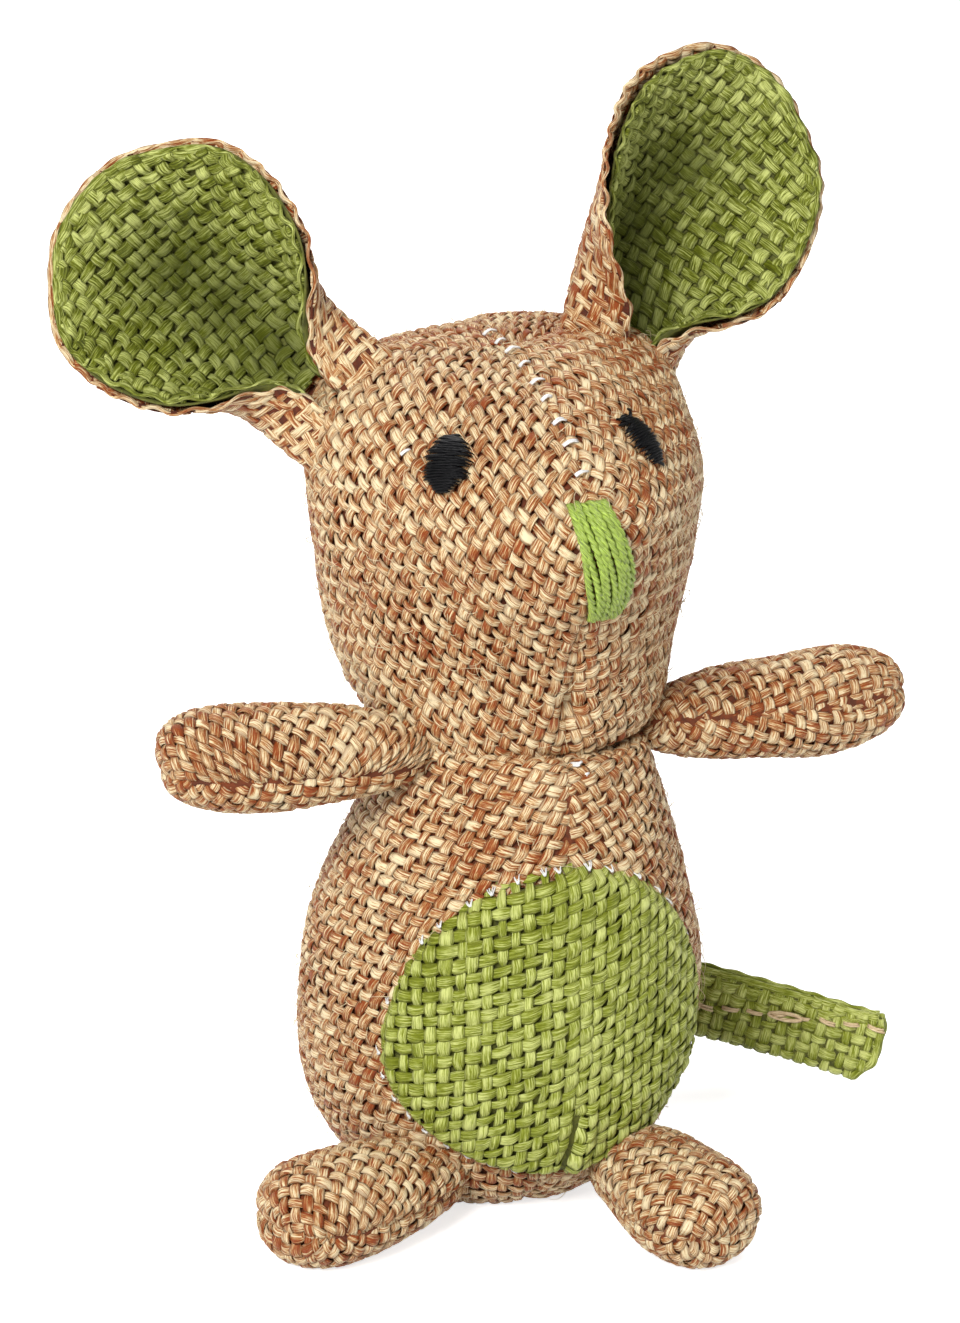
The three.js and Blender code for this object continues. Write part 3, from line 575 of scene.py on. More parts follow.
def finished(bm, name, material, mesh=None, smooth=True):
    """Writes a bmesh to an object at the origin, with its material."""
    mesh = mesh or bpy.data.meshes.new(name)
    bm.to_mesh(mesh)
    bm.free()
    mesh.materials.append(material)
    mesh.polygons.foreach_set("use_smooth", [smooth] * len(mesh.polygons))
    mesh.update()
    obj = bpy.data.objects.new(name, mesh)
    bpy.context.scene.collection.objects.link(obj)
    return obj


def thread_sizes():
    """Spacing, half width, half thickness and crimp of the cloth's threads, in millimetres."""
    cloth = bpy.context.scene.mouse_cloth
    return cloth.pitch / MM, cloth.width / MM / 2, cloth.thickness / MM / 2, cloth.crimp / MM


def half_pitch():
    """Half the spacing of the threads, the step of every cloth's grid."""
    return thread_sizes()[0] / 2


def weave(threads, cloth, stand, draws, middle_lift, drop, tuck, low=None, crimp_share=1.0):
    """Lays both thread ways of a plain weave over a cloth and gathers them as closed threads."""
    pitch, wide, thick, crimp = thread_sizes()
    reach = int(cloth.half * cloth.step / pitch) - 1
    along = np.arange(-reach * 4, reach * 4 + 1) * pitch / 4
    knots = np.arange(-reach - 1, reach + 2) * pitch
    shortest = 5
    for way in (0, 1):
        for row in range(-reach, reach + 1):
            shift = draws.normal(0, UNEVEN["shift"] * pitch)
            phase, which = draws.uniform(0, 2 * np.pi, 4), draws.uniform(0, 1)
            plump = 1 + np.clip(draws.normal(0, UNEVEN["plump"]), *UNEVEN["plump_range"])
            uneven = np.interp(along, knots, draws.normal(0, UNEVEN["swell"], len(knots)))
            across = np.interp(along, knots, draws.normal(0, UNEVEN["stray"] * pitch, len(knots)))
            across += row * pitch + shift
            for (drift, wave), turn in zip(UNEVEN["drifts"], phase):
                across += drift * pitch * np.sin(along / wave + turn)
            over = np.cos(np.pi * (along / pitch + row + way))
            over = np.tanh(UNEVEN["flat_top"] * over) / np.tanh(UNEVEN["flat_top"])
            spot = (along, across) if way == 0 else (across, along)
            _, _, room, whole = cloth.at(*spot)
            held = whole & (room > -tuck)
            if held.sum() < shortest:
                continue
            breath = UNEVEN["breath"] * np.sin(along / UNEVEN["breath_wave"] + phase[2])
            swell = plump * (1 + UNEVEN["over_swell"] * over + breath + uneven)
            lean = UNEVEN["lean"] * np.sin(along / UNEVEN["lean_wave"] + phase[3])
            lean = lean[:, None] + threads.turn
            aside = (wide * swell)[:, None] * np.cos(lean) * (1 + UNEVEN["bulge"] * np.sin(lean) ** 2)
            rise = (thick * swell)[:, None] * np.sin(lean) + (crimp_share * crimp * over)[:, None]
            u, v = along[:, None] + 0 * aside, across[:, None] + aside
            point, normal, room_side, _ = cloth.at(u, v) if way == 0 else cloth.at(v, u)
            lift = middle_lift + rise - drop(room_side, point)
            rings = stand.out(point + normal * lift[..., None])
            if low is not None:
                rings[..., 2] = np.maximum(rings[..., 2], low)
            number = 40 * which + row + WAY_MARK * way
            marks = np.stack(np.broadcast_arrays(along[:, None], aside, number), -1)
            edges = np.flatnonzero(np.diff(np.concatenate([[0], held.astype(int), [0]])))
            for start, end in zip(edges[::2], edges[1::2]):
                if end - start >= shortest:
                    threads.add(rings[start:end], marks[start:end])


def srgb(code):
    """A colour written as six hex digits, in Blender's linear values."""
    parts = [int(code[k: k + 2], 16) / 255 for k in (0, 2, 4)]
    return tuple(c / 12.92 if c <= 0.04045 else ((c + 0.055) / 1.055) ** 2.4 for c in parts)


def tint(name, code, description):
    """A property that holds a colour."""
    return bpy.props.FloatVectorProperty(
        name=name, description=description, default=srgb(code), subtype="COLOR", size=3, min=0, max=1
    )


def length(name, value, description):
    """A property that holds a length, given in millimetres."""
    return bpy.props.FloatProperty(
        name=name, description=description, default=value * MM, unit="LENGTH", precision=5
    )


class MOUSE_PG_cloth(bpy.types.PropertyGroup):
    """Sizes of the threads in the cloth."""

    pitch: length("Spacing", 1.5, "From the middle of one thread to the next")
    width: length("Thread width", 1.17, "Width of a thread, which lies flattened")
    thickness: length("Thread thickness", 0.38, "Thickness of a thread")
    crimp: length("Crimp", 0.2, "How far a thread rises over the threads that it crosses")
    seed: bpy.props.IntProperty(name="Seed", description="Start of the random draws", default=7, min=0)


class MOUSE_PG_colours(bpy.types.PropertyGroup):
    """Colours of the threads, floss and filling."""

    straw: tint("Straw", "ECD9B0", "Lightest fibres of the brown cloth")
    tan: tint("Tan", "BA8C56", "Most fibres of the brown cloth")
    russet: tint("Russet", "8C4016", "Darkest fibres of the brown cloth")
    # Bark is painted shade: the brown that the brown yarn's sides are darkened towards, and the tone of the
    # ear back's ground.
    painted_shade_brown: tint("Bark", "6C2A04", "Brown between the threads")
    leaf_light: tint("Light leaf", "CBD17E", "Lightest fibres of the green cloth")
    leaf: tint("Leaf", "868F26", "Most fibres of the green cloth")
    leaf_dark: tint("Dark leaf", "626A08", "Darkest fibres of the green cloth")
    # Moss is the grey green of the cloth under the threads, and also the painted shade that the green yarn's
    # sides are darkened towards.
    moss_and_side_shade: tint("Moss", "6E7124", "Green grey between the threads")
    floss: tint("Floss", "98AE48", "Green floss of the nose")
    black: tint("Black", "100F14", "Black floss of the eyes")
    white: tint("White", "F4F4F2", "Sewing thread")
    filling: tint("Filling", "7E380C", "Fibre filling, as it shows between the threads")


class Nodes:
    """Adds nodes to a material's tree, with sockets or plain values as inputs."""

    def __init__(self, name):
        self.material = bpy.data.materials.new(name)
        self.material.use_nodes = True
        self.tree = self.material.node_tree
        self.tree.nodes.clear()

    def add(self, kind, inputs=None, **settings):
        """Adds a node and gives it its inputs and settings."""
        made = self.tree.nodes.new(kind)
        for key, value in settings.items():
            setattr(made, key, value)
        for key, value in (inputs or {}).items():
            if isinstance(value, bpy.types.NodeSocket):
                self.tree.links.new(value, made.inputs[key])
            else:
                made.inputs[key].default_value = value
        return made

    def math(self, operation, *values):
        """One sum of values or sockets."""
        return self.add("ShaderNodeMath", dict(enumerate(values)), operation=operation).outputs[0]

    def ramp(self, factor, stops):
        """Colours by a factor, from stops of place and colour."""
        made, stops = self.add("ShaderNodeValToRGB", {"Fac": factor}), list(stops)
        elements = made.color_ramp.elements
        while len(elements) < len(stops):
            elements.new(0.5)
        for element, (place, colour) in zip(elements, stops):
            element.position, element.color = place, (*colour, 1)
        return made.outputs["Color"]

    def mark(self):
        """What each thread's points carry: the way along it, the way across it and which thread it is."""
        mark = self.add("ShaderNodeAttribute", attribute_name="thread").outputs["Vector"]
        return self.add("ShaderNodeSeparateXYZ", {"Vector": mark}).outputs

    def place(self, x, y, z):
        """A place made of three values or sockets."""
        return self.add("ShaderNodeCombineXYZ", {"X": x, "Y": y, "Z": z}).outputs[0]

    def noise(self, place, scale=1.0, detail=2.0, **more):
        """Cloudy noise at a place, from 0 to 1."""
        inputs = {"Vector": place, "Scale": scale, "Detail": detail, **more}
        return self.add("ShaderNodeTexNoise", inputs).outputs["Fac"]

    def surface(self, colour, height, look):
        """A plain surface of a colour, with relief from a height."""
        relief = {"Height": height, "Strength": look["relief"], "Distance": look["relief_depth"]}
        relief = self.add("ShaderNodeBump", relief).outputs[0]
        inputs = {"Base Color": colour, "Normal": relief, "Roughness": look["roughness"]}
        inputs["Specular IOR Level"] = look["specular"]
        return self.shown(self.add("ShaderNodeBsdfPrincipled", inputs).outputs[0])

    def shown(self, shader):
        """Ends the material in a shader."""
        self.add("ShaderNodeOutputMaterial", {"Surface": shader})
        return self.material


def thread_material(name, colours, gap, low, high, fibre, sides, ways):
    """Flat yarn of loose fibres: streaks along it, cloudy dyeing and a tone for each way; its sides are mixed
    towards the gap tone as painted shade, and a point's shade mark paints more shade towards the darkest
    tone.
    """
    made = Nodes(name)
    along, across, which = made.mark()
    run = made.math("MULTIPLY", along, YARN["along"])
    slant = made.math("MULTIPLY_ADD", across, fibre, run)
    fine = made.place(run, slant, made.math("MULTIPLY", which, YARN["thread_step"]))
    streaks = made.noise(fine, detail=YARN["detail"], Roughness=YARN["noise_roughness"])
    wide_run = made.math("MULTIPLY", along, YARN["cloud_along"])
    wide = made.place(wide_run, made.math("MULTIPLY", which, YARN["cloud_step"]), 0.0)
    region = made.noise(made.add("ShaderNodeTexCoord").outputs["Object"], YARN["region_scale"])
    total = made.math("MULTIPLY_ADD", made.noise(wide), YARN["cloud"], streaks)
    total = made.math("MULTIPLY_ADD", region, YARN["region"], total)
    second = made.math("GREATER_THAN", which, WAY_MARK / 2)
    total = made.math("SUBTRACT", total, made.math("MULTIPLY_ADD", second, 2 * ways, -ways))
    level = made.add("ShaderNodeMapRange", {"Value": total, "From Min": low, "From Max": high})
    colour = made.ramp(level.outputs[0], zip(YARN["stops"], colours))
    # Painted shade: the thread's sides are mixed towards the gap tone, as if in the shadow of the threads
    # beside them.
    inner, outer = YARN["side_shade_range"]
    aside = {"Value": made.math("ABSOLUTE", across), "From Min": inner, "From Max": outer, "To Max": sides}
    edge = made.add("ShaderNodeMapRange", aside).outputs[0]
    # Painted shade: a point's shade mark mixes the colour towards the darkest tone.
    shade = made.add("ShaderNodeAttribute", attribute_name="shade").outputs["Fac"]
    for factor, tone in ((edge, gap), (shade, colours[0])):
        mixing = {"Factor": factor, 6: colour, 7: (*tone, 1)}
        colour = made.add("ShaderNodeMix", mixing, data_type="RGBA").outputs[2]
    return made.surface(colour, streaks, YARN)


def floss_material(name, dark, light, rough=0.4, shine=0.5):
    """Shiny twisted floss: fine plies that slant along the strand."""
    made = Nodes(name)
    along, across, which = made.mark()
    slant = made.math("MULTIPLY_ADD", across, FLOSS["across"], made.math("MULTIPLY", along, FLOSS["slant"]))
    fine = made.place(made.math("MULTIPLY", along, FLOSS["along"]), slant, which)
    streaks = made.noise(fine, detail=FLOSS["detail"])
    colour = made.ramp(streaks, zip(FLOSS["stops"], (dark, light)))
    return made.surface(colour, streaks, {**FLOSS, "roughness": rough, "specular": shine})


def wad_material(name, dark, light, scale=900.0):
    """Matted fibre, for the filling and the backing seen between threads."""
    made = Nodes(name)
    place = made.add("ShaderNodeTexCoord").outputs["Object"]
    wisps = made.noise(place, scale, WAD["detail"], Distortion=WAD["distortion"])
    return made.surface(made.ramp(wisps, zip(WAD["stops"], (dark, light))), wisps, WAD)


def kept(name, make):
    """A material by name, made the first time that it is asked for."""
    return bpy.data.materials.get(name) or make(name)


def colours():
    """The colours that are set in the sidebar."""
    return bpy.context.scene.mouse_colours


def shaded(tone, share):
    """A tone made darker or lighter by a share."""
    return tuple(v * share for v in tone)


def brown_yarn():
    """The yarn of the brown cloth."""
    c = colours()
    tones = tuple(c.russet), tuple(c.tan), tuple(c.straw)
    return kept("brown_yarn", lambda name: thread_material(name, tones, tuple(c.painted_shade_brown), **BROWN))


def green_yarn(name="green_yarn", shades=(1.0, 1.0, 1.0, 1.0)):
    """Green yarn, with shares that darken its dark, middle and light tones and its gap tone, the blue more;
    the ear lining's darker copy made this way is painted shade.
    """
    c = colours()
    tones = (c.leaf_dark, c.leaf, c.leaf_light, c.moss_and_side_shade)
    tones = [(red * dim, green * dim, blue * dim**2) for (red, green, blue), dim in zip(tones, shades)]
    return kept(name, lambda made: thread_material(made, tones[:3], tones[3], **GREEN))


def backing(name, tone):
    """Fibre between and behind the threads, in a tone."""
    return kept(name, lambda made: wad_material(made, shaded(tone, 0.3), shaded(tone, 0.75)))


def sewing_thread(name, dark, light, *finish):
    """Thread or floss of two tones."""
    return kept(name, lambda made: floss_material(made, dark, tuple(light), *finish))


def body_ring(height):
    """The body at a height: half width, reach to the front and back, middle, and roundness of both."""
    tall = BODY["height"] + BODY["floor_cut"]
    place = np.arccos(np.clip(1 - 2 * (height + BODY["floor_cut"]) / tall, -1, 1)) / np.pi
    side = BODY["width"] / 2 * spline(BODY["width_shares"], place)
    reach = BODY["depth"] / 2 * spline(BODY["depth_shares"], place)
    middle = -BODY["neck_forward"] * (height / BODY["height"]) ** 2
    return side, reach, reach, middle, BODY["front_power"], BODY["back_power"]


def head_ring(height):
    """The head at a height, in its own stand, told in the same way as the body."""
    place = np.arccos(np.clip(1 - 2 * height / HEAD["height"], -1, 1)) / np.pi
    front = HEAD["front"] * spline(HEAD["front_shares"], place)
    back = HEAD["back"] * spline(HEAD["back_shares"], place)
    middle = -front + HEAD["middle_share"] * (front + back)
    side = HEAD["width"] / 2 * spline(HEAD["width_shares"], place)
    side, front, back = (np.maximum(size, LEAST) for size in (side, middle + front, back - middle))
    return side, front, back, middle, HEAD["power"] * spline(HEAD["power_shares"], place), HEAD["back_power"]


def in_ring(points, ring):
    """Where points stand in the ring at their height: shares of its half sizes, and its roundness there."""
    x, y, z = split(points)
    side, front, back, middle, front_power, back_power = ring(z)
    ahead = y < middle
    off = (y - middle) / np.where(ahead, front, back)
    return x / side, off, np.where(ahead, front_power, back_power)


def ringed(ring, tall):
    """Gives the test of which points lie inside a form that is made of rings."""

    def inside(points):
        across, off, power = in_ring(points, ring)
        height = points[..., 2]
        return (np.abs(across) ** power + np.abs(off) ** power < 1) & (height > 0) & (height < tall)

    return inside


def on_front(ring, turn, height):
    """A spot at the front of a form that is made of rings, by the turn round it and its height."""
    side, front, _, middle, power, _ = ring(height)
    x = side * powered(np.sin(turn), 2 / power)
    y = middle - front * np.abs(np.cos(turn)) ** (2 / power)
    return np.stack([x, y, height], -1)


def limb_inside(limb):
    """Gives the test of which points lie inside a limb, which runs along its own X."""
    shares = LIMB_SHARES[limb["kind"]]

    def inside(points):
        x, y, z = split(points)
        place = np.arccos(np.clip(1 - 2 * x / limb["length"], -1, 1)) / np.pi
        swell = np.maximum(spline(shares, place), LEAST)
        held = (y / (limb["width"] / 2 * swell)) ** 2 + (z / (limb["thickness"] / 2 * swell)) ** 2 < 1
        return held & (x > 0) & (x < limb["length"])

    return inside


HEAD_STAND = Frame(turned(0, HEAD["tilt"], 0), HEAD["place"])
FORMS = {}


def form_of(name):
    """The form of the body, the head or a limb, worked out once."""
    if name not in FORMS:
        if name in LIMBS:
            limb = LIMBS[name]
            stand = Frame(turned(0, -limb["rise"], limb["turn"]), limb["root"])
            made = Form(limb_inside(limb), (limb["length"] / 2, 0, 0), limb["length"], stand)
        elif name == "head":
            made = Form(ringed(head_ring, HEAD["height"]), HEAD["heart"], LONGEST, HEAD_STAND)
        else:
            made = Form(ringed(body_ring, BODY["height"]), BODY["heart"], LONGEST, Frame())
        FORMS[name] = made
    return FORMS[name]


def quarter_room(sign, front, cloth):
    """Room to the edge of one quarter of a stuffed form, sewn at its middle, its side and its neck."""
    facing = (-sign * math.cos(SIDE_SEAM), -math.sin(SIDE_SEAM))
    middle, way = cloth["neck_middle"], cloth["neck_way"]

    def room(points):
        x, y, z = split(points)
        ahead = x * facing[0] + (y - cloth["middle"]) * facing[1]
        in_neck = np.hypot(x, y - middle) - cloth["neck_radius"]
        in_neck = np.where(z * way > cloth["neck_height"] * way, in_neck, FAR)
        return np.minimum.reduce([x * sign, ahead if front else -ahead, in_neck])

    return room


def chin_pinch(points):
    """How far the cloth is drawn in below the nose, where the head's seam ends."""
    x, y, z = split(points)
    return PINCH["depth"] * hump(x, PINCH["half"]) * hump(z - PINCH["height"], PINCH["tall"]) * (y < 0)


def seam_drop(depth, width, dent=None):
    """How far cloth sinks as it nears the seam at its edge."""

    def drop(room, point):
        x, y, z = split(point)
        pucker = 1 + SEAM["pucker"] * np.sin(SEAM["wave"] * (x + z) + SEAM["slant"] * y)
        sunk = depth * pucker * np.exp(-SEAM["fall"] * np.maximum(room, 0) / width)
        sunk = sunk + SEAM["past"] * np.maximum(-room, 0)
        return sunk + dent(point) if dent else sunk

    return drop


def quarters(form, cloth):
    """The four cloths of a stuffed form: front and back on each side."""
    made = []
    for sign in (1, -1):
        for front, (x, y, z) in cloth["starts"].items():
            room = quarter_room(sign, front, cloth)
            side = sign if front else -sign
            bias, skew = (side * angle for angle in cloth["biases"][sign])
            start = (sign * x, y, z)
            laid = drape(form, start, bias, CELLS["cover"], half_pitch(), room, SLACK["cover"], skew)
            made.append((sign, laid))
    return made


def show(piece, body, nodes=(), join=None):
    """Rides a finished piece on its body, or with a join bakes its place into its points, and hides the parts
    that it stands in for.
    """
    if join:
        tuple(join[1])
        tuple(join[2])
        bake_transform(piece)
    else:
        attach(piece, body)
    if nodes:
        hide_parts(*nodes)


def stuff(name, body, form, wad, nodes, join, low=None, dent=None):
    """Fills a form: a closed skin of fibre at a set distance from its surface."""
    bm = bmesh.new()
    bmesh.ops.create_uvsphere(bm, u_segments=wad["around"], v_segments=wad["up"], radius=1)
    ways = unit(spots_of(bm))
    reach = form.reach(ways) + wad["lift"]
    if dent:
        reach = reach - dent(form.middle + ways * reach[:, None])
    points = form.stand.out(form.middle + ways * reach[:, None])
    if low is not None:
        points[:, 2] = np.maximum(points[:, 2], low)
    put(bm, points)
    piece = finished(bm, name, backing("brown_backing", colours().filling))
    show(piece, body, nodes, join)


def cover(name, form, cut, draws, join=None, low=None, dent=None):
    """Weaves the left and right covers of the head or body."""
    drop = seam_drop(*cut["seam"], dent)
    sides = {1: Threads(), -1: Threads()}
    for sign, cloth in quarters(form, cut):
        weave(sides[sign], cloth, form.stand, draws, CLOTH_LIFT, drop, tuck=cut["tuck"], low=low)
    for sign, word in ((1, "left"), (-1, "right")):
        piece = sides[sign].piece(f"{name}_cloth_{word}", brown_yarn())
        show(piece, name, [f"{name}_cover_{word}"], join)


def random_draws(context, number):
    """The random draws of one operator, the same on each run."""
    return np.random.default_rng(context.scene.mouse_cloth.seed + number)


def join_along(body, stand, start, end):
    """Where a piece meets a body, from one spot of its stand to another."""
    ends = (stand.out(np.array(spot, float)) for spot in (start, end))
    return (body, *(tuple(float(v) * MM for v in spot) for spot in ends))


class MOUSE_OT_head(bpy.types.Operator):
    """Weaves the head's cover and fills it."""

    bl_idname = "mouse.head"
    bl_label = "Head"

    def execute(self, context):
        form = form_of("head")
        cover("head", form, HEAD_CLOTH, random_draws(context, 0), NECK_JOIN, dent=chin_pinch)
        stuff("head_filling", "head", form, STUFFING["head"], ["head_stuffing"], NECK_JOIN,
              dent=lambda points: PINCH["filling_share"] * chin_pinch(points))
        return {"FINISHED"}


class MOUSE_OT_body(bpy.types.Operator):
    """Weaves the body's cover and fills it."""

    bl_idname = "mouse.body"
    bl_label = "Body"

    def execute(self, context):
        form = form_of("body")
        cover("body", form, BODY_CLOTH, random_draws(context, 1), low=0.0)
        nodes = ["body_stuffing_lower", "body_stuffing_upper"]
        stuff("body_filling", "body", form, STUFFING["body"], nodes, None, STUFFING_FLOOR)
        return {"FINISHED"}


class MOUSE_OT_pouch(bpy.types.Operator):
    """Makes the pouch of dried catnip in the middle of the filling."""

    bl_idname = "mouse.pouch"
    bl_label = "Pouch"

    def execute(self, context):
        bm = bmesh.new()
        bmesh.ops.create_cube(bm, size=2)
        bmesh.ops.subdivide_edges(bm, edges=bm.edges[:], cuts=POUCH["cuts"], use_grid_fill=True)
        across, through, up = split(spots_of(bm))
        crown = (np.maximum(1 - across**4, 0) * np.maximum(1 - up**4, 0)) ** 0.5
        uneven = 1 + POUCH["lump_share"] * np.sin(5 * across + 2 * up) * np.sin(4 * up - across)
        deep = POUCH["hem"] / 2 + (POUCH["depth"] - POUCH["hem"]) / 2 * crown * uneven
        drawn = 1 - POUCH["drawn_share"] * np.abs(across * up) ** 0.5
        put(bm, np.stack([
            across * POUCH["width"] / 2 * drawn, -BODY["neck_forward"] / 4 + through * deep,
            POUCH["height"] + up * POUCH["tall"] / 2 * drawn,
        ], -1))
        c = colours()
        dark, light = shaded(c.leaf, POUCH["dark_share"]), shaded(c.white, POUCH["light_share"])
        weave_look = kept("pouch_weave", lambda name: wad_material(name, dark, light, POUCH["weave_scale"]))
        show(finished(bm, "pouch", weave_look), "body", ["catnip_pouch"])
        return {"FINISHED"}


class MOUSE_OT_limbs(bpy.types.Operator):
    """Weaves and fills the arms and legs."""

    bl_idname = "mouse.limbs"
    bl_label = "Arms and legs"

    def execute(self, context):
        draws, cut = random_draws(context, 2), LIMB_CLOTH
        drop = seam_drop(*cut["seam"])
        for name, limb in LIMBS.items():
            form, threads = form_of(name), Threads()
            for sign in (1, -1):
                def room(points, sign=sign, limb=limb):
                    x, _, z = split(points)
                    return np.minimum((z - limb["seam"]) * sign, x - cut["open_end"])

                start = (limb["length"] / 2, 0, sign * limb["thickness"])
                cloth = drape(form, start, cut["bias"], CELLS["limb"], half_pitch(), room, SLACK["small"])
                weave(threads, cloth, form.stand, draws, CLOTH_LIFT, drop, tuck=cut["tuck"], low=0.0)
            piece = threads.piece(f"{name}_cloth", brown_yarn())
            join = join_along("body", form.stand, *cut["join"])
            show(piece, name, [f"{name}_cover"], join)
            stuff(f"{name}_filling", name, form, STUFFING["limb"], [f"{name}_stuffing"], join,
                  STUFFING_FLOOR)
        return {"FINISHED"}


def ear_surface(ear, a, b, grow):
    """Points of an ear's curled sheet, at shares of its half width and of its length."""
    half = ear["width"] / 2 * spline(EAR["width_shares"], b) + grow
    curl = np.radians(EAR["curl"] * spline(EAR["curl_shares"], b))
    pinch = spline(EAR["pinch_shares"], b)
    wide = half / curl * (1 + EAR["wide_share"] * pinch)
    deep = half / curl * (1 - EAR["flat_share"] * pinch)
    tip = ear["length"] * b - EAR["tip_drop"] * a * a * b * b - EAR["sunk"]
    bowl = np.maximum(1 - a * a, 0) ** EAR["hollow_power"]
    hollow = EAR["hollow"] * spline(EAR["hollow_shares"], b) * bowl
    return np.stack([wide * np.sin(curl * a), hollow - deep * (1 - np.cos(curl * a)), tip], -1)


def ear_place(ear, grow):
    """Gives points and normals of an ear's sheet at flat places across and along it."""

    def place(across, along):
        b = along / ear["length"]
        inner = np.clip(b, 0, 1)
        a = across / (ear["width"] / 2 * spline(EAR["width_shares"], inner) + grow)
        held = np.clip(a, -EAR["past"], EAR["past"])
        nudge = 1 / 64
        low = np.minimum(inner, 1 - nudge)
        right = ear_surface(ear, held + nudge, low, grow) - ear_surface(ear, held - nudge, low, grow)
        rise = ear_surface(ear, held, low + nudge, grow) - ear_surface(ear, held, low, grow)
        points = ear_surface(ear, held, inner, grow)
        ahead = unit(rise)
        points = points + ahead * ((b - inner) * ear["length"])[..., None]
        return points, unit(np.cross(right, rise))

    return place


def ear_room(ear, start_share, grow, shift):
    """Room to an ear's edge, which may be drawn in on the side away from the shift."""
    corner = EAR["corner"]

    def room(across, along):
        b = np.clip(along / ear["length"], 0, 1)
        half = ear["width"] / 2 * spline(EAR["width_shares"], b) + grow
        aside, top = half - shift - np.abs(across - shift), ear["length"] + grow - along
        rounded = corner - np.hypot(np.maximum(corner - aside, 0), np.maximum(corner - top, 0))
        return np.minimum(rounded, along - start_share * ear["length"])

    return room


def rim_drop(middle):
    """Rolls cloth over at its rim: it leaves its lift and closes on the sheet's middle."""

    def drop(room, point):
        return np.sign(middle) * EAR["rolled"] * (1 - ease(room / EAR["roll_width"] + EAR["roll_start"]))

    return drop


def ear_stand(ear):
    """Where an ear stands, as it rides on the head."""
    inner = turned(ear["pitch"], ear["lean"], ear["turn"])
    return Frame(HEAD_STAND.turn @ inner, HEAD_STAND.out(np.array(ear["place"], float)))


def sheet_piece(name, place, flat_at, stand, lift, thickness, tone, cells=28):
    """A thin closed sheet between the threads: flat_at draws a square grid out to the cloth's outline."""
    bm = bmesh.new()
    bmesh.ops.create_grid(bm, x_segments=cells, y_segments=cells, size=1)
    flat = spots_of(bm)
    across, along = flat_at(flat[:, 0], (flat[:, 1] + 1) / 2)
    points, normals = place(across, along)
    put(bm, stand.out(points + normals * lift))
    area = sum(face.calc_area() for face in bm.faces)
    bmesh.ops.recalc_face_normals(bm, faces=bm.faces)
    bmesh.ops.solidify(bm, geom=bm.faces[:], thickness=thickness * MM)
    bmesh.ops.recalc_face_normals(bm, faces=bm.faces)
    return finished(bm, name, backing(*tone)), area


def folded_sheet(ground, area, wide, long, rests_on, piece):
    """Works out a sheet's flat size in metres and the lesser of that and its area, and keeps neither."""
    flat = (wide * MM, long * MM)
    min(area, flat[0] * flat[1])


def rim_thread(threads, place, stand, line, lift, draws, which, wavy=1.0):
    """Lays one thread along the rim of a sheet, over and under as the rest."""
    pitch, wide, thick, crimp = thread_sizes()
    line = np.array(line)
    gone = travelled(line)
    along = np.arange(0, gone[-1], pitch / 4)
    points, normals = place(*(np.interp(along, gone, line[:, k]) for k in (0, 1)))
    wave = np.cos(np.pi * along / pitch + draws.uniform(0, np.pi) + np.sin(along / RIM["wander"]))
    path = stand.out(points + normals * (lift + wavy * RIM["rise_share"] * crimp * wave)[:, None])
    wide = wide * (RIM["wide_share"] + wavy * RIM["swell_share"] * wave)
    threads.strand(path, stand.along(normals), wide, thick, which)


def ear_half(ear, rise, grow, inset, shift):
    """Half the width of an ear at a height, rounded off towards the top."""
    corner = EAR["corner"]
    up = np.clip(rise - (ear["length"] + grow - corner), 0, corner - inset)
    aside = corner - np.sqrt(np.maximum((corner - inset) ** 2 - up**2, 0))
    share = np.clip(rise / ear["length"], 0, 1)
    return ear["width"] / 2 * spline(EAR["width_shares"], share) + grow - shift - aside


def ear_outline(ear, start_share, grow, inset, shift):
    """The run of an ear's rim, from root to root, at a set distance in from its edge."""
    low, top = start_share * ear["length"] + 0.5, ear["length"] + grow - inset
    rise = low + (top - low) * np.sin(np.linspace(0, np.pi / 2, 60))
    half = ear_half(ear, rise, grow, inset, shift)
    one, other = np.stack([shift - half, rise], -1), np.stack([shift + half, rise], -1)
    return np.concatenate([one, other[::-1]])


def cup_shade(ear, place, stand):
    """Gives how much painted shade each point gets, most round the bottom of an ear's cup."""
    shares = np.array(EAR["shade_shares"])
    middles = stand.out(place(0 * shares, shares * ear["length"])[0])

    def shade(rings):
        far = np.linalg.norm(rings[..., None, :] - middles, axis=-1)
        return EAR["shade"] * hump(far, EAR["shade_reach"]).max(-1)

    return shade


